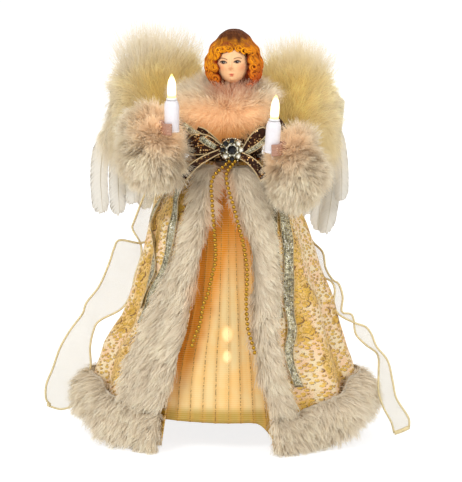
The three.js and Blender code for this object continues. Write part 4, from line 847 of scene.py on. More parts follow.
def collar_comb(roots):
    """Out from the neck all round: up to the chin at the top, down over the bow at the bottom."""
    radial = unit((roots - [2, 0, 0]) * [1, 0.8, 0])
    high = np.clip((roots[:, 2:3] - 243) / 12, -1, 1)
    return radial * 0.55 + UP * (high * 0.95 - 0.1) + sway(roots, 0.4, 13, 22, [1, 0.3, 0.4])


def hem_comb(roots):
    radial = unit(roots * [1, 1, 0])
    return radial * 0.25 - UP * 0.55 + np.cross(UP, radial) * 0.5 * waves(roots, 3, 60)[:, None]


def strip_comb(roots):
    """Down, with the inner hairs over the opening and the outer ones over the coat."""
    angle, height = front_angle(roots), roots[:, 2]
    share, left = share_down(height), angle < OPENING
    inside = np.where(left, look_up(share, LEFT_EDGE) - angle, angle - look_up(share, RIGHT_EDGE))
    lean = np.where(
        left, np.interp(height, [40, 70, 120, 150, 180], [1.1, 0.45, 0.45, 0.6, 1.1]),
        np.interp(height, [50, 100, 150, 180], [1.1, 0.8, 0.5, 1.0]),
    )
    outward = np.clip(inside / 6 - lean, -lean, 0.6) * np.where(left, -1, 1)
    return np.array([0.0, -0.15, -0.75]) + outward[:, None] * np.array([1.0, 0, 0]) + sway(roots, 0.3, 5, 40, [1, 0, 0])


def strip_shift(points):
    """The pile leans over the opening in the upper two thirds, more on the left."""
    left = np.interp(points[:, 2], [50, 75, 115, 150, 185], [0, -3, -3, 0.5, 4.5])
    right = np.interp(points[:, 2], [60, 110, 150, 165, 185], [0, 0.5, 2.5, 1.5, -1.5])
    return np.where(points[:, 0] < 0, left, right)[:, None] * [1, 0, 0]


CUFF_CENTRE = {"left": [-56.0, -39.7, 223.5], "right": [47.2, -39.7, 206.5]}


def cuff_comb(name):
    def comb(roots):
        radial = unit(roots - np.array(CUFF_CENTRE[name]))
        return radial * 0.5 - UP * 0.3 + np.array([0, -0.45, 0]) + sway(roots, 0.35, 9, 25, [1, 0, 0.5])
    return comb


# Arm, middle, half sizes and number of hairs
CUFF_FILLS = {
    "left": ("left", (-52.8, -53.0, 219.0), (13, 9, 17), 9000),
    "left_low": ("left", (-44.5, -42.0, 213.0), (9, 8, 12), 4200),
    "right": ("right", (48.0, -54.0, 206.0), (13, 9, 17), 9000),
}


def cuff_fill(name):
    """Hair that closes a cuff's open end round the hand."""
    arm, centre, radii, count = CUFF_FILLS[name]
    side = SIDES[arm]
    rng = np.random.default_rng(45 + side)
    out = unit(rng.normal(size=(count, 3)) * [1, 0.9, 1] - [0, 0.5, 0])
    roots = centre + out * radii
    comb = out * 0.6 + np.array([side * 0.15, -0.35, -0.45]) + sway(roots, 0.4, 10, 18, [1, 0, 0.6])
    hairs, faces, share, hair, nearest = strands(rng, roots, out, comb, 16, 0.5)
    paint = fur_paint(hairs, share, hair, nearest, candle_glow, 46)
    piece(f"cuff_fill_{name}", hairs, faces, "fur", (), f"arm_{arm}", colour=paint)


def make_fur():
    fur_piece(
        "collar_fur", "fur_collar", 26000, 18, collar_comb, 11, inset=4, scale=(0.72, 0.82, 0.78), shift=(-3, 0, 1),
        glow=collar_glow, width=0.4, droop=0.1, lift=0.5, every=26,
    )
    for name, count, seed in (("left", 19000, 21), ("back", 20000, 22), ("right", 19000, 23)):
        fur_piece(f"hem_fur_{name}", f"fur_hem_{name}", count, 15, hem_comb, seed, inset=4.5, curl=1.6)
    for seed, name in enumerate(SIDES, 31):
        fur_piece(
            f"strip_fur_{name}", f"fur_strip_{name}", 17000, 14, strip_comb, seed, inset=2.4, glow=strip_glow,
            voxel=1.6, shift=strip_shift, curl=1.6, lift=0.5,
        )
    for seed, (name, side) in enumerate(SIDES.items(), 41):
        fur_piece(
            f"cuff_fur_{name}", f"fur_cuff_{name}", 19000, 17, cuff_comb(name), seed, f"arm_{name}", inset=0.5,
            scale=(0.66, 0.8, 0.82), shift=(side * 2.0, 0, 0), glow=candle_glow,
        )
    for name in CUFF_FILLS:
        cuff_fill(name)


make_fur()


# ---- Coat and underskirt ----
def coat_panel(name, start, stop, columns):
    """One brocade panel, with fine creases on its folds."""
    down = np.linspace(0, 1, 90)[:, None]
    across = np.linspace(0, 1, columns)[None, :]
    share = share_down(COAT_TOP * (1 - down))
    angle = start(share) * (1 - across) + stop(share) * across
    height = COAT_TOP + (hem_height(angle) + 4 - COAT_TOP) * down
    base = coat(angle, height, 0)
    crease = 0.5 * waves(base * [1, 1, 0.35], 7, 26) + 0.25 * waves(base * [1, 1, 0.5], 8, 11)
    grid = coat(angle, height, crease * np.minimum(1, 3 * down))
    uv = np.stack([np.broadcast_to(distances(grid[60]), height.shape), height], -1) * MM
    obj = cloth(f"cloth_coat_{name}", grid, 0.9, uv, "brocade", [f"coat_{name}_panel"])


def edge(table, back):
    """The coat's front edge, a few degrees under the fur strip."""
    return lambda share: look_up(share, table) + back * np.interp(share, [0.15, 0.35, 0.7, 0.85], [0, 1, 1, 0])


def fixed(angle):
    return lambda share: np.full_like(share, angle)


coat_panel("left", fixed(-SEAM + SEAM_GAP), edge(LEFT_EDGE, -5.5), 110)
coat_panel("back", fixed(SEAM + SEAM_GAP), fixed(360 - SEAM - SEAM_GAP), 170)
coat_panel("right", edge(RIGHT_EDGE, 4.5), fixed(SEAM - SEAM_GAP), 110)

SKIRT_TOP, SKIRT_HEM, SKIRT_INSET = 201.5, 22, 8.5
# The gathered top: half width, half depth and share of the height
GATHER_WIDE, GATHER_DEEP, GATHER_SHARE = 21, 17.5, 0.14
TUCKS = 60
CORNER, CORNER_DROP = 23, 15


def make_underskirt():
    """Pleated organza, gathered at its top; one corner at the front hangs lower and flares."""
    turn = np.arange(TUCKS * 6) / (TUCKS * 6)
    angle = 360 * turn[None, :]
    down = np.linspace(0, 1, 70)[:, None]
    around = np.minimum(angle, 360 - angle)
    corner = np.exp(-(((angle - CORNER) / 5.5) ** 2)) * CORNER_DROP
    low = SKIRT_HEM - 1.5 * np.cos(np.radians(angle * 3)) * (around < 60) - corner
    height = SKIRT_TOP + (low - SKIRT_TOP) * down
    tuck = np.abs((turn * TUCKS) % 1 - 0.5) * 2
    ridge = 0.8 * (tuck[None, :] ** 6) + 0.45 * waves(skirt(angle, height, 0) * [1, 1, 0.3], 17, 30)
    full = skirt(angle, height, ridge * np.minimum(1, 2 * down) - SKIRT_INSET)
    t = np.radians(angle)
    narrow = np.stack([GATHER_WIDE * np.sin(t) + 0 * down, -GATHER_DEEP * np.cos(t) + 0 * down, height], -1)
    gather = np.minimum(1, down / GATHER_SHARE)[..., None]
    flare = np.exp(-(((angle - CORNER) / 6) ** 2)) * rise(down, 0.86, 0.14)
    grid = narrow * (1 - gather) + full * gather + flare[..., None] * np.array([2.0, -6.0, 0])
    uv = np.stack([np.broadcast_to(turn * TUCKS, height.shape), height * MM], -1)
    obj = cloth("cloth_underskirt", grid, 0.5, uv, "lit_organza", ["underskirt"], wrap=True)


make_underskirt()

# ---- Head ----
# Distance under the top, and radius
HAIR_PROFILE = np.array([[0, 0.2], [1.5, 4.8], [5, 9], [11, 14], [19, 18.4], [28, 19.8], [35, 18], [42, 13.5]])
HEAD = np.array([4.0, 0.0, 300.9])
HEAD_DEPTH = 0.88
CAP_RINGS, CAP_SIDES, CAP_DROP = 40, 64, 40


def hair_point(angle, drop, out=0.0):
    """A point on the hair's outer surface, at an angle from the front and a distance under its top."""
    radius, turn, drop = np.broadcast_arrays(look_up(drop, HAIR_PROFILE) + out, np.radians(angle), drop)
    return np.stack([HEAD[0] + radius * np.sin(turn), -radius * HEAD_DEPTH * np.cos(turn), HEAD[2] - drop], -1)


def over_face(angle, drop):
    """How far the fringe stands out, to lie on the forehead."""
    return 3.4 * rise(drop, 9, 4) * fall(np.abs(angle), 44, 8)


def lock_path(rng, angle, start, end, sweep=0.0):
    """A moulded lock that waves down the hair, nearly in step with its neighbours."""
    t = np.linspace(0, 1, 24)
    drop = start + (end - start) * t
    step = drop * 0.66 + 2.2 * math.sin(math.radians(angle * 2.3)) + angle / 24 + rng.normal(0, 0.45)
    swing = 1.9 * np.sin(step) * rise(drop, 3, 8)
    out = rng.uniform(-0.7, 0.4) + 0.8 * np.sin(step + 1.6) * np.clip((drop - 3) / 8, 0.15, 1)
    turn = angle + sweep * t + np.degrees(swing / np.maximum(look_up(drop, HAIR_PROFILE), 7))
    return hair_point(turn, drop, out + over_face(turn, drop))


def curl_path(rng, angle, drop, size):
    """A small spiral curl flat on the hair."""
    turn = np.linspace(0, rng.uniform(6, 9.5), 24)
    reach = size * (1 - 0.62 * turn / turn[-1])
    across = reach * np.sin(turn) * rng.choice([-1, 1])
    turned_by = np.degrees(across / max(8, look_up(drop, HAIR_PROFILE)))
    return hair_point(angle + turned_by, drop + reach * np.cos(turn), 0.5 + 0.1 * turn + over_face(angle, drop))


def hair_paint(rng, points, facing):
    """Brown crown, gold locks with painted red-brown shade in their hollows and on their sides, copper towards the neck
    partly as painted shade, and browner at the viewer's right.
    """
    crown, gold, copper, shade = (as_colour(c) for c in ("542a0e", "ffa40e", "d8621a", "842604"))
    low = HEAD[2] - points[:, 2]
    right = rise(points[:, 0] - HEAD[0], 7, 12)
    colour = layered(
        crown, (gold, (low - 5 + 1.6 * waves(points, 52, 6)) / 8), (copper, rise(low, 23, 14) * 0.7 + 0.5 * right),
        (crown, np.clip(points[:, 1] / 14, 0, 1) * 0.7),
    )
    return np.clip(blend_colour(np.minimum(shade, colour), colour * rng.uniform(0.8, 1.12), facing), 0, 1)


def hair_paths(rng):
    """The middle lines and thicknesses of all locks and curls."""
    paths = []
    for angle in np.arange(-180, 180, 7.5):
        if abs(angle) > 33:
            for start, end in ((1, 24), (8, 36), (16, 41)):
                paths.append((lock_path(rng, angle + rng.uniform(-3, 3), start, end + rng.uniform(-3, 2)), 1.6))
        else:
            paths.append((lock_path(rng, angle, 1, rng.uniform(11, 13)), 1.5))
    for angle in np.linspace(-28, 32, 17):
        start, end = rng.uniform(4, 7), rng.uniform(12, 13.5) + abs(angle) / 12
        paths.append((lock_path(rng, angle, start, end, (angle - 4) * 0.9), 1.7))
    for angle in np.linspace(-46, 46, 17):
        paths.append((curl_path(rng, angle, rng.uniform(9.5, 11.5) + abs(angle) / 9, 2.3), 0.95))
    for angle in np.arange(-176, 180, 9):
        if abs(angle) > 34:
            for drop in (27, 34, 39):
                place = angle + rng.uniform(-4, 4), drop + rng.uniform(-2, 2)
                paths.append((curl_path(rng, *place, rng.uniform(2.2, 3.0)), 1.25))
    return paths


def make_hair():
    """A cap, hollow where the face is, with moulded locks and curls over it."""
    rng = np.random.default_rng(51)
    drop = np.linspace(0.3, CAP_DROP, CAP_RINGS)[:, None]
    angle = np.linspace(0, 360, CAP_SIDES, endpoint=False)[None, :]
    hollow = fall(np.minimum(angle, 360 - angle), 40, 10) * rise(drop, 17, 3)
    cap = hair_point(angle, drop, -1.4 - 9 * hollow).reshape(-1, 3)
    cap = np.vstack([cap, [[HEAD[0], 0, HEAD[2] - CAP_DROP], [HEAD[0], 0, HEAD[2] - 0.2]]])
    foot, top = len(cap) - 2, len(cap) - 1
    parts = [(cap, [
        grid_faces(CAP_RINGS, CAP_SIDES, True), fan(CAP_SIDES, foot, (CAP_RINGS - 1) * CAP_SIDES),
        fan(CAP_SIDES, top, flip=True),
    ])]
    # The cap under the locks is painted almost all in the hollows' shade
    colours = [hair_paint(rng, cap, np.full(len(cap), 0.1))]
    for path, thick in hair_paths(rng):
        along = np.linspace(0, 1, len(path))
        points, faces = tube(path, thick * np.sin(np.pi * (0.14 + 0.78 * along)) ** 0.6, 10)
        parts.append((points, faces))
        middle = np.vstack([np.repeat(path, 10, axis=0), path[:1], path[-1:]])
        # How far each point of a lock faces out: its sides and underside get the painted shade
        facing = (unit(points - middle) * unit((middle - HEAD + [0, 0, 16]) * [1, 1.3, 0.5])).sum(1)
        colours.append(hair_paint(rng, points, rise(facing, 0.42, 0.46)))
    joined("hair", parts, "painted_hair", ["head"], slot="painted_resin", colour=np.vstack(colours))


# The face's middle, half width and half height, the plane of its edge, its depth and half its turn in degrees
FACE = (2.9, 275.5)
FACE_WIDE, FACE_TALL = 12.0, 12.8
FACE_PLANE, FACE_DEPTH, FACE_TURN = -8.2, 12.5, 88
FACE_ROWS, FACE_COLUMNS = 150, 130
# Each eye's middle, and how much it slants
EYES = ((-3.6, 278.6, 0.1), (6.4, 279.2, 0.0))
# Height of a swelling, its middle, half width and half height
RELIEF = (
    (2.3, 1.5, 275.6, 1.25, 1.6), (1.1, 1.6, 278.8, 0.9, 3.2), (0.5, 0.2, 274.9, 0.9, 0.8), (0.5, 2.9, 275.0, 0.9, 0.8),
    (0.75, 2.3, 270.6, 2.0, 0.7), (0.75, 2.3, 269.3, 1.6, 0.7), (-0.5, 2.3, 270.0, 2.2, 0.28),
    (1.0, 3.0, 266.3, 2.8, 2.0), (0.6, -4.6, 275.2, 3.2, 3.0), (0.6, 9.3, 275.5, 3.2, 3.0),
    (-1.15, *EYES[0][:2], 2.7, 1.9), (-1.15, *EYES[1][:2], 2.7, 1.9),
    (0.8, *EYES[0][:2], 1.9, 1.25), (0.8, *EYES[1][:2], 1.9, 1.25),
)
SKIN, BLUSH, LIP, EYE_LINE, BROW = "fdcb98", "f08a5c", "e07e60", "140d0a", "6e3416"


def near(x, z, px, pz, wide, tall, power=1.0):
    """1 at a place on the face, falling off round it."""
    return np.exp(-((((x - px) / wide) ** 2 + ((z - pz) / tall) ** 2) ** power))


def stroke(z, height, half, power, inside):
    """A painted line along a height, where it is inside its reach."""
    return np.exp(-(((z - height) / half) ** power)) * inside


def paint_eye(colour, x, z, ex, ez, tilt):
    off = x - ex
    outer = -1 if ex < FACE[0] else 1
    opening = near(x, z - tilt * off, ex, ez, 2.1, 0.95, 3)
    return layered(
        colour, ("c98565", 0.5 * near(x, z, ex, ez + 0.5, 2.6, 1.5, 2)), ("f0d8be", opening),
        ("1e120c", near(x, z, ex - 0.2, ez, 1.4, 1.0, 4) * np.clip(opening * 1.4, 0, 1)),
        (EYE_LINE, near(x, z, ex - 0.2, ez, 0.62, 0.6, 4)),
        # A painted highlight: a white dot in each eye
        (np.ones(3), near(x, z, ex + 0.15, ez + 0.25, 0.2, 0.2, 2)),
        (EYE_LINE, stroke(z, ez + 0.98 - 0.17 * off**2, 0.5, 4, np.abs(off) < 2.7)),
        (BROW, 0.8 * stroke(z, ez - 0.95 + 0.15 * off**2, 0.24, 2, np.abs(off) < 2.1)),
        (BROW, 0.9 * stroke(z, ez + 3.0 - 0.085 * (off - 0.4 * outer) ** 2, 0.36, 2, np.abs(off - 0.3 * outer) < 3.1)),
    )


def make_face():
    """Face and neck: a smooth oval with small features, painted on the mesh."""
    rows, columns = FACE_ROWS, FACE_COLUMNS
    up = np.linspace(1, -1, rows)[:, None]
    half = np.sqrt(np.clip(1 - (np.abs(up) ** 2.3), 0, 1)) * np.where(up < 0, 1 + 0.18 * up, 1.0)
    theta = np.linspace(-1, 1, columns)[None, :] * math.radians(FACE_TURN)
    x = FACE[0] + FACE_WIDE * half * np.sin(theta)
    z = FACE[1] + FACE_TALL * up + 0 * theta
    y = FACE_PLANE - FACE_DEPTH * np.sqrt(np.clip(half, 0, 1)) * np.cos(theta)
    y = y - sum(height * near(x, z, *place) for height, *place in RELIEF)
    lips = 1.3 * near(x, z, 2.3, 270.4, 1.7, 0.6, 2.0) + 1.3 * near(x, z, 2.3, 269.3, 1.3, 0.55, 2.0)
    colour = layered(
        np.broadcast_to(as_colour(SKIN), (*x.shape, 3)),
        (BLUSH, 0.55 * (near(x, z, -5.2, 275.0, 3.0, 2.6) + near(x, z, 9.9, 275.4, 3.2, 2.8))),
        (BLUSH, 0.35 * near(x, z, 1.5, 275.2, 1.6, 1.5)),
        # Painted shade at the sides, where the face turns away
        ("c8744c", np.clip(np.abs(theta) / 1.53 - 0.68, 0, 1) * 2.0 + 0 * x),
        (LIP, lips), ("a84c3c", 0.7 * near(x, z, 2.3, 269.9, 1.6, 0.2)),
    )
    for eye in EYES:
        colour = paint_eye(colour, x, z, *eye)
    grid = np.stack([x, y, z], -1)
    count = rows * columns
    front = grid_faces(rows, columns)
    loop = np.concatenate([
        np.arange(columns), np.arange(1, rows) * columns + columns - 1,
        (rows - 1) * columns + np.arange(columns - 2, -1, -1), np.arange(rows - 2, 0, -1) * columns,
    ])
    after = np.roll(loop, -1)
    points = np.vstack([grid.reshape(-1, 3), (grid * [1, 0, 1] + [0, -4.0, 0]).reshape(-1, 3)])
    faces = [front, front[:, ::-1] + count, np.stack([after, loop, loop + count, after + count], -1)]
    neck = turned([[0, 252.8], [8, 252.8], [7.4, 258], [6.8, 266], [6.5, 272], [0, 273]], 40, (0.4, -1.5, 0))
    # The neck is painted a tenth darker than the face, as painted shade under the chin
    neck_paint = np.broadcast_to(as_colour(SKIN) * 0.9, neck[0].shape)
    paint = np.vstack([colour.reshape(-1, 3)] * 2 + [neck_paint])
    joined("face", [(points, faces), neck], "painted_resin", ["head"], colour=paint)


make_hair()
make_face()


# ---- Bow, brooch, beads and ribbons ----
def ribbon_between(
    name, edges, material, nodes=(), slot=None, count=40, across=7, belly=0.6, thick=0.5, wires=0.5
):
    """A ribbon between two edge curves, with a wire along each edge."""
    a, b = (smooth_path(e, count) for e in edges)
    t = np.linspace(0, 1, across)[None, :, None]
    grid = a[:, None] * (1 - t) + b[:, None] * t
    grid = grid + grid_normals(grid) * belly * np.sin(np.pi * t)
    uv = np.stack(np.broadcast_arrays(t[..., 0], distances(a)[:, None] * MM), -1)
    cloth(name, grid, thick, uv, material, nodes, slot)
    joined(name + "_wires", [tube(a, wires, 6), tube(b, wires, 6)], "ribbon_wire", slot=slot or material)


# CAD nodes, how far the ribbon swells, and the two edges as pixels and depths
BOW = {
    "loop_left": (
        ["bow_loop_left"], 0.2,
        [(221, 146, -34), (210, 138, -37), (198, 135.5, -37.5), (190, 139, -35), (187.5, 145, -31), (192, 149, -27.5),
         (207, 150, -26.5), (221, 149, -28)],
        [(221, 152, -34), (210, 155, -37), (198, 156, -37.5), (191, 155, -35), (188, 150, -31), (192, 152, -27.5),
         (207, 153, -26.5), (221, 152, -28)],
    ),
    "loop_right": (
        ["bow_loop_right"], 0.2,
        [(243, 149, -34), (249, 139, -36), (256, 132, -37), (263, 129.5, -36), (265, 134, -31), (259, 138, -28),
         (243, 147, -28)],
        [(243, 156, -34), (251, 153, -36), (259, 147, -37), (265, 141, -36), (266, 141, -31), (259, 147, -28),
         (243, 153, -28)],
    ),
    "loop_upper_left": (
        [], 0.3, [(222, 146, -31), (214, 138, -35), (206, 131.5, -37), (199, 128.5, -36)],
        [(219, 149, -31), (209, 141.5, -35), (202, 135.5, -37), (197, 132.5, -36)],
    ),
    "tail_left": (
        ["bow_tail_left"], 0.6, [(219, 151, -36), (207, 156, -41), (193, 164, -46), (181, 176, -49)],
        [(220, 155, -36), (210, 160.5, -41), (197, 169.5, -46), (187, 181, -49)],
    ),
    "tail_right": (
        ["bow_tail_right"], 0.6, [(242, 154, -36), (251, 158.5, -40), (260, 166, -44), (267, 177, -46)],
        [(240, 160, -36), (247, 164.5, -40), (254, 172, -44), (261, 183, -46)],
    ),
}


def make_bow():
    for name, (nodes, belly, *edges) in BOW.items():
        ribbon_between(name, [route(e) for e in edges], "velvet", nodes, "satin", belly=belly)
    points, _, faces = soft_form("bow_knot", 0.8, 8)
    points = points + sway(points, 0.35, 61, 5, [0, 1, 0.4])
    piece("knot", points, faces, "velvet", ["bow_knot"], slot="satin")


def gem(radius, depth, centre, sides=8):
    """A cut stone that faces -Y."""
    outline = [[0, 0], [radius, 0], [radius, depth * 0.25], [radius * 0.55, depth], [0, depth]]
    points, faces = turned(outline, sides)
    return np.stack([points[:, 0], -points[:, 2], points[:, 1]], -1) + centre, faces


BROOCH = np.array([2.6, -33.4, 217.0])
PETALS = 8
BLACK_PETALS = (0, 4, 6, 7)
# Radii of the rings of petals, small stones and rim beads
PETAL_RING, SMALL_RING, RIM_RING = 6.7, 4.3, 8.7


def make_brooch():
    """Eight petals with stones round a middle one, small stones between, and beads along the rim."""
    def at(turn, radius, forward=0.0):
        return BROOCH + [math.sin(turn) * radius, -forward, math.cos(turn) * radius]

    cups, black, clear = [gem(4.6, 1.6, BROOCH, 24)], [], []
    for petal in range(PETALS):
        turn = 2 * math.pi * petal / PETALS
        cups.append(gem(2.6, 1.5, at(turn, PETAL_RING), 14))
        (black if petal in BLACK_PETALS else clear).append(gem(2.0, 1.9, at(turn, PETAL_RING, 0.9)))
        clear.append(gem(0.95, 1.2, at(turn + 0.39, SMALL_RING, 1.2), 6))
        cups += [gem(0.75, 1.3, at(turn + offset, RIM_RING, 0.4)) for offset in (-0.3, 0.3)]
    black.append(gem(3.2, 3.0, at(0, 0, 1.4), 9))
    ring = np.linspace(0, 2 * np.pi, 41)[:-1]
    cups.append(tube(np.array([at(turn, 3.7, 1.6) for turn in ring]), 0.45, 6))
    joined("brooch_cups", cups, "brooch_metal", ["brooch_setting"])
    joined("brooch_clear_stones", clear, "clear_stone", ["brooch_setting"], slot="brooch_metal", smooth=False)
    joined("brooch_black_stones", black, "black_stone", ["brooch_stone"], slot="brooch_stone", smooth=False)


BEAD, BEAD_STEP, THREAD = 1.5, 3.5, 0.35


def bead_strand(name, path, nodes):
    """Gold balls on a thread."""
    path = smooth_path(path, 400)
    spots = smooth_path(path[::8], int(path_length(path) / BEAD_STEP))
    arc = [[BEAD * math.cos(a), BEAD * math.sin(a)] for a in np.linspace(-1.25, 1.25, 7)]
    outline = [[0, -BEAD], *arc, [0, BEAD]]
    beads = joined(name, [turned(outline, 12, centre) for centre in spots], "gold_bead", nodes)
    line = path[::4]
    thread = joined(name + "_thread", [tube(line, THREAD, 6)], "gold_wire", slot="gold_bead")


# Each strand's start, then angle, share of the height and share of the way out on the skirt
BEADS = {
    "left": ([0.5, -34.8, 208.6], [
        [-12.6, 0.957, 0.389], [-10.7, 0.877, 0.222], [-9.4, 0.814, 0.056], [-8.4, 0.77, 0], [-7.5, 0.688, 0],
        [-9.3, 0.625, 0], [-11, 0.567, 0], [-13.2, 0.528, 0], [-14, 0.467, 0], [-16.1, 0.416, 0], [-16.5, 0.378, 0],
    ]),
    "right": ([4.7, -34.8, 208.6], [
        [-1.6, 0.973, 0.589], [0.4, 0.915, 0.278], [3.1, 0.872, 0.167], [5.8, 0.814, 0.056], [8.9, 0.736, 0],
        [10.1, 0.673, 0], [10.3, 0.634, 0], [9.1, 0.547, 0], [9, 0.465, 0], [9.9, 0.424, 0], [11.3, 0.385, 0],
        [12, 0.354, 0],
    ]),
}


def make_beads():
    for name, (start, rows) in BEADS.items():
        angle, height, out = np.array(rows, float).T
        strand = skirt(angle, height * COAT_TOP, 12.25 + 9 * out)
        bead_strand(f"beads_{name}", np.vstack([[start], strand]), [f"bead_strand_{name}"])


# Angle, height and distance out from the coat
RIBBONS = {
    "left_outer": [
        [-60, 196, 1], [-70, 182, 0], [-78, 169, 0], [-77, 156, 0], [-62, 143, 0], [-55, 131, 0], [-55, 121, 0],
        [-61, 100, 0],
    ],
    "left_inner": [
        [-54, 198, 1], [-48, 185, 0.5], [-45, 172, 0.3], [-45, 150, 0], [-47, 127, 0], [-52, 110, 0], [-55, 90, 0],
    ],
    "right_inner": [[48, 200, 1], [42, 186, 0], [36, 165, 0], [33, 136, 0], [30, 118, 0], [29, 97, 0]],
    "right_outer": [
        [56, 198, 1], [52, 189, 0.8], [50, 180, 0.6], [47, 165, 0.2], [45, 146, 0], [42, 128, 0], [38, 106, 0],
        [37, 87, 0], [33, 74, 0], [32.7, 61, 0], [35, 46, 0],
    ],
}
RIBBON_HALF = 2.9
# The ends over the bow: two edges as pixels and depths
RIBBON_ENDS = {
    "upper_left": (
        [(185, 124, -33), (196, 132, -36), (208, 141, -38), (217, 147, -36)],
        [(183, 128, -33), (193, 137, -36), (205, 146, -38), (215, 151, -36)],
    ),
    "right_loop": (
        [(244, 154, -35), (253, 148, -38), (262, 141, -39), (268, 134, -38)],
        [(245, 157, -35), (255, 152, -38), (264, 145.5, -39), (270, 138, -38)],
    ),
}


def make_mesh_ribbons():
    look = dict(material="metallic_mesh", thick=0.25, wires=0.36)
    for seed, (name, rows) in enumerate(RIBBONS.items()):
        angle, height, out = smooth_path(rows, 70).T
        radius = np.linalg.norm(skirt(angle, height, 0)[:, :2], axis=1)
        edges = []
        for side in (-1, 1):
            ripple = 0.8 * np.sin(height / 6 + seed * 2 + side)
            away = TRIM_BACK + 1.2 + out + ripple + 0.9 * side
            edges.append(coat(angle + np.degrees(RIBBON_HALF / radius) * side, height, away))
        nodes = [f"mesh_ribbon_{name}"]
        ribbon_between(f"mesh_{name}", edges, nodes=nodes, count=70, across=6, belly=0.5, **look)
    for name, edges in RIBBON_ENDS.items():
        ribbon_between(f"mesh_{name}", [route(e) for e in edges], belly=0.4, **look)


make_bow()
make_brooch()
make_beads()
make_mesh_ribbons()


# ---- Waist, sleeves and hands ----
def simple_form(
    name, node, material, voxel, rounds, wave=0.0, size=8.0, stretch=(1, 1, 1), body="angel", slot=None, paint=None
):
    """A smoothed CAD form, with waves on it where it is cloth, or one paint."""
    points, normals, faces = soft_form(node, voxel, rounds)
    if wave:
        points = points + normals * (wave * waves(points * stretch, 71, size))[:, None]
    colour = None if paint is None else np.broadcast_to(as_colour(paint), points.shape)
    piece(name, points, faces, material, [node], body, slot, colour=colour)


def make_dress():
    simple_form("bodice_cloth", "bodice", "velvet", 0.7, 2, 0.3, 7.0, (1, 1, 0.3))
    simple_form("sash_cloth", "waist_sash", "velvet", 0.8, 3, 0.4, 5.0, (0.3, 0.3, 1.6), slot="satin")
    simple_form("sash_knot_cloth", "sash_knot", "gold_cord", 0.8, 4, 0.5, 5.0, slot="sheer_organza")
    for name in SIDES:
        body = f"arm_{name}"
        simple_form(f"sleeve_cloth_{name}", f"sleeve_{name}", "velvet", 1.0, 3, 0.9, 9.0, (1, 1.6, 1), body)
        simple_form(f"hand_skin_{name}", f"hand_{name}", "painted_hand", 0.35, 5, body=body, paint="b48a76")


make_dress()

# ---- Candles ----
CANDLE_FOOT = {"left": (-40.528, -62.7, 234.24), "right": (30.889, -62.7, 219.247)}
CANDLE_LEAN = {"left": 0.0, "right": math.radians(4.4)}
# Outlines of radius and height over the foot
SOCKET = [
    [0, 0], [4.9, 0], [5.4, 0.5], [5.4, 18.4], [5.15, 20.3], [4.5, 22.2], [4.0, 23], [3.4, 23], [3.4, 13], [0, 13]
]
SOCKET_RING = [[0, 0.35], [5.5, 0.35], [5.6, 0.9], [5.5, 1.4], [0, 1.4]]
BULB_BASE = [[0, 13.3], [3.1, 13.3], [3.1, 23.3], [3.9, 23.3], [3.9, 24.5], [3.3, 24.9], [0, 24.9]]
BULB_GLASS = [
    [0, 24.8], [2.9, 24.8], [3.15, 28], [3.1, 33], [2.7, 36.5], [1.7, 39.4], [0.7, 41.2], [0.35, 41.9], [0, 42.1]
]
CANDLE = (
    ("socket", (SOCKET, SOCKET_RING), "socket_plastic", "candle_socket", "arm", "white_plastic"),
    ("base", (BULB_BASE,), "white_plastic", "bulb_base", "bulb", None),
    ("glass", (BULB_GLASS,), "bulb_glass", "bulb_glass", "bulb", None),
)


def make_candles():
    for name in SIDES:
        for label, outlines, material, node, body, slot in CANDLE:
            parts = [turned(outline, 32, CANDLE_FOOT[name], CANDLE_LEAN[name]) for outline in outlines]
            joined(f"{label}_{name}", parts, material, [f"{node}_{name}"], f"{body}_{name}", slot)


make_candles()

# ---- Streamers ----
# Both edges of each, as pixels and depths
STREAMERS = {
    "left": (
        [(152, 176, 34), (147, 186, 30), (134, 220, 22), (132, 229, 18), (140, 243, 10), (141, 256, 6), (135, 275, 2),
         (131, 293, 0), (121, 309, 0), (99, 321, 0), (93, 331, -2), (89.5, 348, -3), (90, 367, -3), (84, 386, -4),
         (79, 402, -5), (62, 410, -6), (48, 407, -6)],
        [(156, 190, 30), (151, 220, 24), (151, 237, 14), (140, 243, 8), (119.5, 240, 6), (114, 248, 4), (109, 263, 3),
         (99, 286, 1), (86, 303, 0), (82, 314, -1), (70, 330, -2), (59.5, 348, -3), (52, 369, -4), (45.5, 385, -5),
         (45, 399, -6), (48, 404, -6)],
    ),
    "right": (
        [(300, 205, 32), (311, 238, 22), (323, 252, 12), (326, 268, 8), (333, 280, 4), (339, 284, 2), (343, 297, 0),
         (342, 312, -2), (351, 314, -3), (354, 320, -4), (356, 334, -5), (366, 345, -6), (378, 355, -7), (379, 374, -8),
         (379, 392, -9), (384, 408, -10), (392, 423, -10), (395, 434, -10)],
        [(297, 210, 32), (312, 250, 18), (318, 267, 8), (321, 276, 4), (331, 281, 2), (335, 289, 0), (334, 301, -1),
         (335, 309, -2), (341, 316, -4), (355, 323, -5), (366, 327, -6), (372, 335, -6), (377, 347, -8), (388, 361, -9),
         (393, 381, -10), (397, 399, -10), (409, 418, -10), (410, 428, -10)],
    ),
}
STREAMER_ROWS = 90
STREAMER_WEAVE = 22
HEM_CORD, END_ROLL = 0.8, 1.5


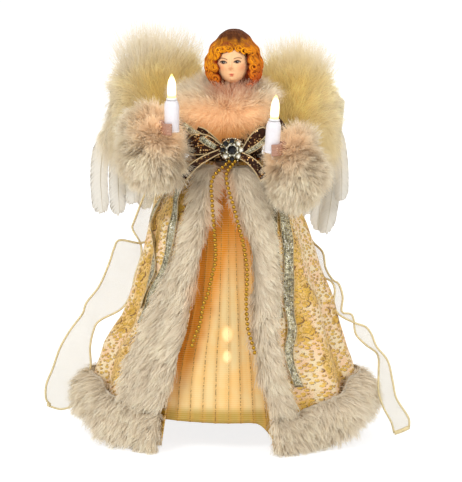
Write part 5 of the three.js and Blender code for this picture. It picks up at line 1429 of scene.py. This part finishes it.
def make_streamers():
    """Waved sheer cloth with a gold cord along both edges and its end rolled up."""
    for name, edges in STREAMERS.items():
        a, b = (smooth_path(route(e), STREAMER_ROWS) for e in edges)
        a[:, 2], b[:, 2] = np.maximum(a[:, 2], 1.2), np.maximum(b[:, 2], 1.2)
        t = np.linspace(0, 1, 11)[None, :, None]
        bulge = 2.2 * np.sin(np.pi * t) * np.sin(np.linspace(0, 16, STREAMER_ROWS))[:, None, None]
        grid = a[:, None] * (1 - t) + b[:, None] * t + bulge * np.array([0, 1.0, 0])
        length = (path_length(a) + path_length(b)) / 2 * MM
        down = np.linspace(0, length, STREAMER_ROWS)[:, None]
        uv = np.stack(np.broadcast_arrays(t[..., 0] * STREAMER_WEAVE * MM, down), -1)
        obj = cloth(f"organza_{name}", grid, 0.25, uv, "sheer_organza", [f"streamer_{name}"])
        end = smooth_path([a[-1], (a[-1] + b[-1]) / 2 + [0, 0, -0.4], b[-1]], 12)
        hem = ("gold_cord", (), "angel", "sheer_organza")
        cords = joined(f"organza_edge_{name}", [tube(e, HEM_CORD) for e in (a, b)], *hem)
        roll = joined(f"organza_roll_{name}", [tube(end, END_ROLL, 10)], *hem)


make_streamers()

# ---- Wings ----
HINGE = np.array([8.0, 42.0, 233.0])
FORWARD = np.array([0, -1.0, 0])
BARBS, VANE_STEPS = 120, 6
# Side and share of the width of a quill's two vanes
VANES = ((-1, 0.42), (1, 0.58))


def feather(rng, root, direction, length, width, bend, tone):
    """A broad quill: a shaft and a smooth vane each side, with a few splits."""
    along = np.linspace(0, 1, 36)
    normal = unit(FORWARD - direction * (FORWARD @ direction))
    side = np.cross(direction, normal)
    arch = (-2.5 * np.sin(along * 2.2))[:, None]
    rachis = root + direction * (length * along)[:, None] + side * (bend * np.sin(np.pi * along))[:, None]
    rachis = rachis + normal * arch
    shaft = tube(rachis, 0.45 * (1 - 0.85 * along) + 0.05, 6)
    parts, colours = [shaft], [np.broadcast_to(as_colour("ddd6c4"), shaft[0].shape)]
    t = np.linspace(0.03, 1, BARBS)
    centre = np.stack([np.interp(t, along, rachis[:, i]) for i in range(3)], -1)
    heading = unit(np.stack([np.interp(t, along, np.gradient(rachis[:, i])) for i in range(3)], -1))[:, None]
    profile = np.clip(np.minimum(t / 0.3, 1) ** 0.8 * np.clip((1.0 - t) / 0.16, 0, 1) ** 0.5, 0.02, 1)
    s = np.linspace(0, 1, VANE_STEPS + 1)
    for hand, share in VANES:
        reach = (width * share * profile)[:, None]
        out = unit(np.cross(heading, normal)) * hand
        forward = reach * (0.45 * s + 0.55 * s**2)
        points = centre[:, None] + out * (reach * s)[..., None] + heading * forward[..., None]
        ragged = rng.normal(0, 0.7, (BARBS, 1, 1)) * s[None, :, None] ** 4
        points = points - normal * (0.09 * width * s**2)[None, :, None] + normal * 0.3 * ragged + heading * ragged
        parts.append((points.reshape(-1, 3), [grid_faces(BARBS, VANE_STEPS + 1)]))
        barbs = tone * (0.93 + 0.07 * rng.random(BARBS))
        colours.append((barbs[:, None] * (1 - 0.06 * s)).reshape(-1, 1) * as_colour("f0ece2"))
    return merged(parts), np.vstack(colours)


# Broad quills by node: root and tip in the photograph, width, sideways bend
QUILLS = {
    "left": {
        1: [((112, 112), (101, 212), 13, 5), ((121, 122), (118, 213), 12, 2)],
        2: [((136, 114), (133, 203), 13, 2), ((149, 118), (146, 208), 12, 2)],
        3: [((128, 114), (126, 192), 14, 0), ((160, 122), (158, 202), 13, -2), ((171, 126), (169, 196), 13, -3)],
    },
    "right": {
        1: [((329, 104), (343, 200), 12, -4), ((322, 108), (327, 233), 14, -7)],
        2: [((311, 110), (320, 230), 12, -4), ((304, 114), (309, 214), 13, -2)],
        3: [((314, 110), (333, 212), 13, -5), ((294, 116), (297, 205), 13, 0), ((283, 120), (284, 198), 13, 2)],
    },
}


def make_quills(name, side, rng):
    for layer, quills in QUILLS[name].items():
        parts, colours = [], []
        for order, (start, end, width, bend) in enumerate(quills):
            depth = HINGE[1] + 2.2 + 1.3 * layer + 0.5 * order
            root, tip = (np.array(spot(*place, depth)) for place in (start, end))
            length = np.linalg.norm(tip - root)
            made, colour = feather(rng, root, unit(tip - root), length, width, bend, 1 - 0.03 * order)
            parts.append(made)
            colours.append(colour)
        points, faces = merged(parts)
        middle = np.clip(1.2 - np.abs(points[:, 0] - side * 50) / 50, 0, 1) * rise(points[:, 2], 172, 50)
        paint = blend_colour(np.vstack(colours), "e8cc98", 0.6 * middle)
        nodes = [f"quill_{name}_{layer}"]
        piece(f"feathers_{name}_{layer}", points, faces, "feather", nodes, f"wing_{name}", colour=paint)


# The fluff's outline in the photograph
FLUFF_OUTLINE = {
    "left": [
        (205, 74), (190, 63), (172, 53), (152, 49), (138, 53), (125, 64), (116, 82), (107, 108), (100, 138), (96, 165),
        (104, 184), (128, 192), (152, 192), (182, 180),
    ],
    "right": [
        (260, 74), (274, 66), (292, 60), (312, 70), (325, 88), (333, 114), (336, 146), (336, 170), (330, 188),
        (316, 198), (290, 196), (268, 182),
    ],
}
OUTLINE_BINS = 48
HAIR_MARGIN = 9
WING_FRONT, WING_BACK = HINGE[1] - 22, HINGE[1] + 16
WISP_WIDTH = 0.24


def fluff_reach(name, points):
    """The core drawn in the wing's plane to the photographed outline, less the hairs' length."""
    corners = FLUFF_OUTLINE[name] + FLUFF_OUTLINE[name][:1]
    outline = smooth_path([spot(px, py, HINGE[1] - 6) for px, py in corners], 240)
    centre = outline[:-1].mean(0)

    def polar(p):
        return np.arctan2(p[:, 2] - centre[2], p[:, 0] - centre[0]), np.hypot(p[:, 2] - centre[2], p[:, 0] - centre[0])

    bins = np.linspace(-np.pi, np.pi, OUTLINE_BINS + 1)
    middle = (bins[1:] + bins[:-1]) / 2
    reach = []
    for p in (outline, points):
        angle, radius = polar(p)
        index = np.digitize(angle, bins) - 1
        far = np.array([radius[index == i].max() if (index == i).any() else np.nan for i in range(OUTLINE_BINS)])
        known = ~np.isnan(far)
        reach.append(np.interp(middle, middle[known], far[known]))
    ratio = np.clip((reach[0] - HAIR_MARGIN) / reach[1], 0.4, 1.5)
    ratio = np.mean([np.roll(ratio, k) for k in (-2, -1, 0, 1, 2)], axis=0)
    scale = np.interp(polar(points)[0], middle, ratio, period=2 * np.pi)[:, None]
    return centre + (points - centre) * np.concatenate([scale, np.ones_like(scale), scale], 1), centre


def fluff_paint(points, share, vary=1.0):
    """Gold-tan in the thick middle of a wing, pale grey-cream at its edges and tips, with painted shade towards the
    roots and an alpha for a painted glow, stronger in the middle.
    """
    height = points[:, 2]
    edge = rise(np.abs(points[:, 0]) / 88, 0.64, 0.38) + rise(height, 260, 26) + fall(height, 206, 40)
    middle = np.clip(1 - edge, 0, 1)
    colour = blend_colour("fff6e2", "ffec9e", middle * 0.9)
    shadow = blend_colour("c8bc9c", "d8bc70", middle)
    tint = np.clip(blend_colour(shadow, colour, 0.3 + 0.7 * share) * vary, 0, 1)
    return np.column_stack([tint, 0.12 + middle * 0.15])


def make_fluff(name, side, rng):
    """Marabou: fine barbs that part from the wing's root: up over its top, out and down along its outer side."""
    points, normals, form_faces = soft_form(f"wing_marabou_{name}", 2.0, 6, 1.0)
    points, centre = fluff_reach(name, points)
    roots, out = scatter(rng, points, normals, form_faces, 25000)
    away = (roots - centre - [side * -8, 0, -12]) * [1, 0, 1]
    away = unit(away + rng.normal(0, 6, away.shape) * [1, 0, 1])
    outer = rise(np.abs(roots[:, 0:1]), 50, 30) * fall(roots[:, 2:3], 272, 25)
    comb = unit(away * (1 - 0.7 * outer) + np.array([side * 0.35, 0, -1.0]) * outer)
    comb = comb + sway(roots, 0.35, 19, 30, [1, 0.2, 0.6])
    length = 17 + 4 * rise(roots[:, 2:3], 262, 22)
    hairs, faces, share, hair, nearest = strands(
        rng, roots, out, comb, length, 0.46, lift=0.45, droop=0.05, curl=2.0, clump=0.4, every=34
    )

    def loose(chosen, comb, length, **look):
        return strands(rng, points[chosen], normals[chosen], comb, length, WISP_WIDTH, clump=0.5, steps=4, **look)

    wisps = 2000
    chosen = rng.choice(np.flatnonzero(points[:, 2] > np.quantile(points[:, 2], 0.75)), wisps)
    comb = unit((points[chosen] - centre) * [1, 0, 1]) + UP * 0.3 + rng.normal(0, 0.35, (wisps, 3))
    more = [loose(chosen, comb, 34, lift=0.2, droop=-0.1, curl=2.2, every=14)]
    lower, inner = points[:, 2] < np.quantile(points[:, 2], 0.45), points[:, 1] < centre[1] + 2
    chosen = rng.choice(np.flatnonzero((np.abs(points[:, 0]) > 42) & lower & inner), wisps * 3)
    comb = np.array([side * 0.22, -0.12, -1.0]) + rng.normal(0, 0.3, (wisps * 3, 3))
    more.append(loose(chosen, comb, 30, lift=0.25, droop=0.3, curl=2.4, every=22))
    tufts = rng.uniform(0.88, 1.12, nearest.max() + 1)[nearest] * rng.uniform(0.92, 1.1, len(nearest))
    # The core is painted like the barbs' roots, in painted shade
    parts, paint = [(points, form_faces)], [fluff_paint(points, np.full(len(points), 0.2))]
    looks = [(share, tufts[hair][:, None])] + [(0.7 + 0.3 * m[2], 0.92) for m in more]
    for (hairs, faces, *_), look in zip([(hairs, faces)] + more, looks):
        hairs[:, 1] = np.clip(hairs[:, 1], WING_FRONT, WING_BACK)
        parts.append((hairs, faces))
        paint.append(fluff_paint(hairs, *look))
    nodes = [f"wing_marabou_{name}"]
    joined(f"marabou_{name}", parts, "fluff", nodes, f"wing_{name}", "feather", colour=np.vstack(paint))


def make_wings():
    for name, side in SIDES.items():
        rng = np.random.default_rng(80 + (side > 0))
        make_quills(name, side, rng)
        make_fluff(name, side, rng)


make_wings()

# ---- Finishes for the CAD solids that stay ----
FINISH = {
    "card": ["support_cone"],
    "foam": ["torso"],
    "felt": ["wing_base_left", "wing_base_right"],
    "steel_wire": ["wing_bridge", "arm_wire_left", "arm_wire_right"],
    "lead_cover": ["candle_lead_left", "candle_lead_right", "light_string"],
}


def finish_nodes():
    for material, names in FINISH.items():
        for name in names:
            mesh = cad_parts[name].data
            mesh.materials.clear()
            mesh.materials.append(MATERIAL[material])


finish_nodes()

# ---- Floor, backdrop, light ----
FLOOR_SIZE = 30.0
# The glow of the white floor, and its share in what is seen directly
FLOOR_GLOW, FLOOR_SHARE = 1.34, 0.62
# The backdrop's light, and what is added where it is seen directly
BACKDROP_LIGHT, BACKDROP_SEEN = 0.55, 0.45
# Name, place, power and size
LAMPS = (("key", (-1.3, -1.7, 1.9), 34, 0.9), ("fill", (1.7, -1.5, 1.0), 14, 1.2), ("rim", (0.3, 1.6, 1.8), 14, 1.0))


def seen_directly(s):
    """1 for what the camera sees, straight or by a mirror or through glass."""
    ray = s.node("LightPath").outputs
    return s.most(s.most(ray["Is Camera Ray"], ray["Is Glossy Ray"]), ray["Is Transmission Ray"])


def make_floor():
    s = Shader("floor")
    grain = s.mix(s.noise(s.place(), 40.0), (0.9, 0.9, 0.9), (0.93, 0.93, 0.93))
    face = s.node("BsdfDiffuse", {"Color": grain}).outputs[0]
    light = s.node("Emission", {"Color": (1, 1, 1), "Strength": FLOOR_GLOW}).outputs[0]
    material = s.finish(s.either(s.mul(seen_directly(s), FLOOR_SHARE), face, light))
    size = FLOOR_SIZE
    mesh = bpy.data.meshes.new("floor")
    mesh.from_pydata([(-size, -size, 0), (size, -size, 0), (size, size, 0), (-size, size, 0)], [], [(0, 1, 2, 3)])
    floor = bpy.data.objects.new("floor", mesh)
    mesh.materials.append(material)
    bpy.context.collection.objects.link(floor)


def make_light():
    world = bpy.data.worlds.new("studio")
    world.use_nodes = True
    bpy.context.scene.world = world
    s = Shader("studio", world.node_tree)
    background = world.node_tree.nodes["Background"]
    background.inputs["Color"].default_value = (1, 1, 1, 1)
    strength = s.math("MULTIPLY_ADD", seen_directly(s), BACKDROP_SEEN, BACKDROP_LIGHT)
    s.put(background.inputs["Strength"], strength)
    for name, place, power, size in LAMPS:
        data = bpy.data.lights.new(name, "AREA")
        data.energy, data.size = power, size
        lamp = bpy.data.objects.new(name, data)
        lamp.location = place
        x, y, z = -np.array(place) + [0, 0, 0.15]
        lamp.rotation_euler = (math.atan2(math.hypot(x, y), -z), 0, math.atan2(-x, y))
        bpy.context.collection.objects.link(lamp)


make_floor()
make_light()
bpy.context.scene.view_settings.view_transform = "Standard"
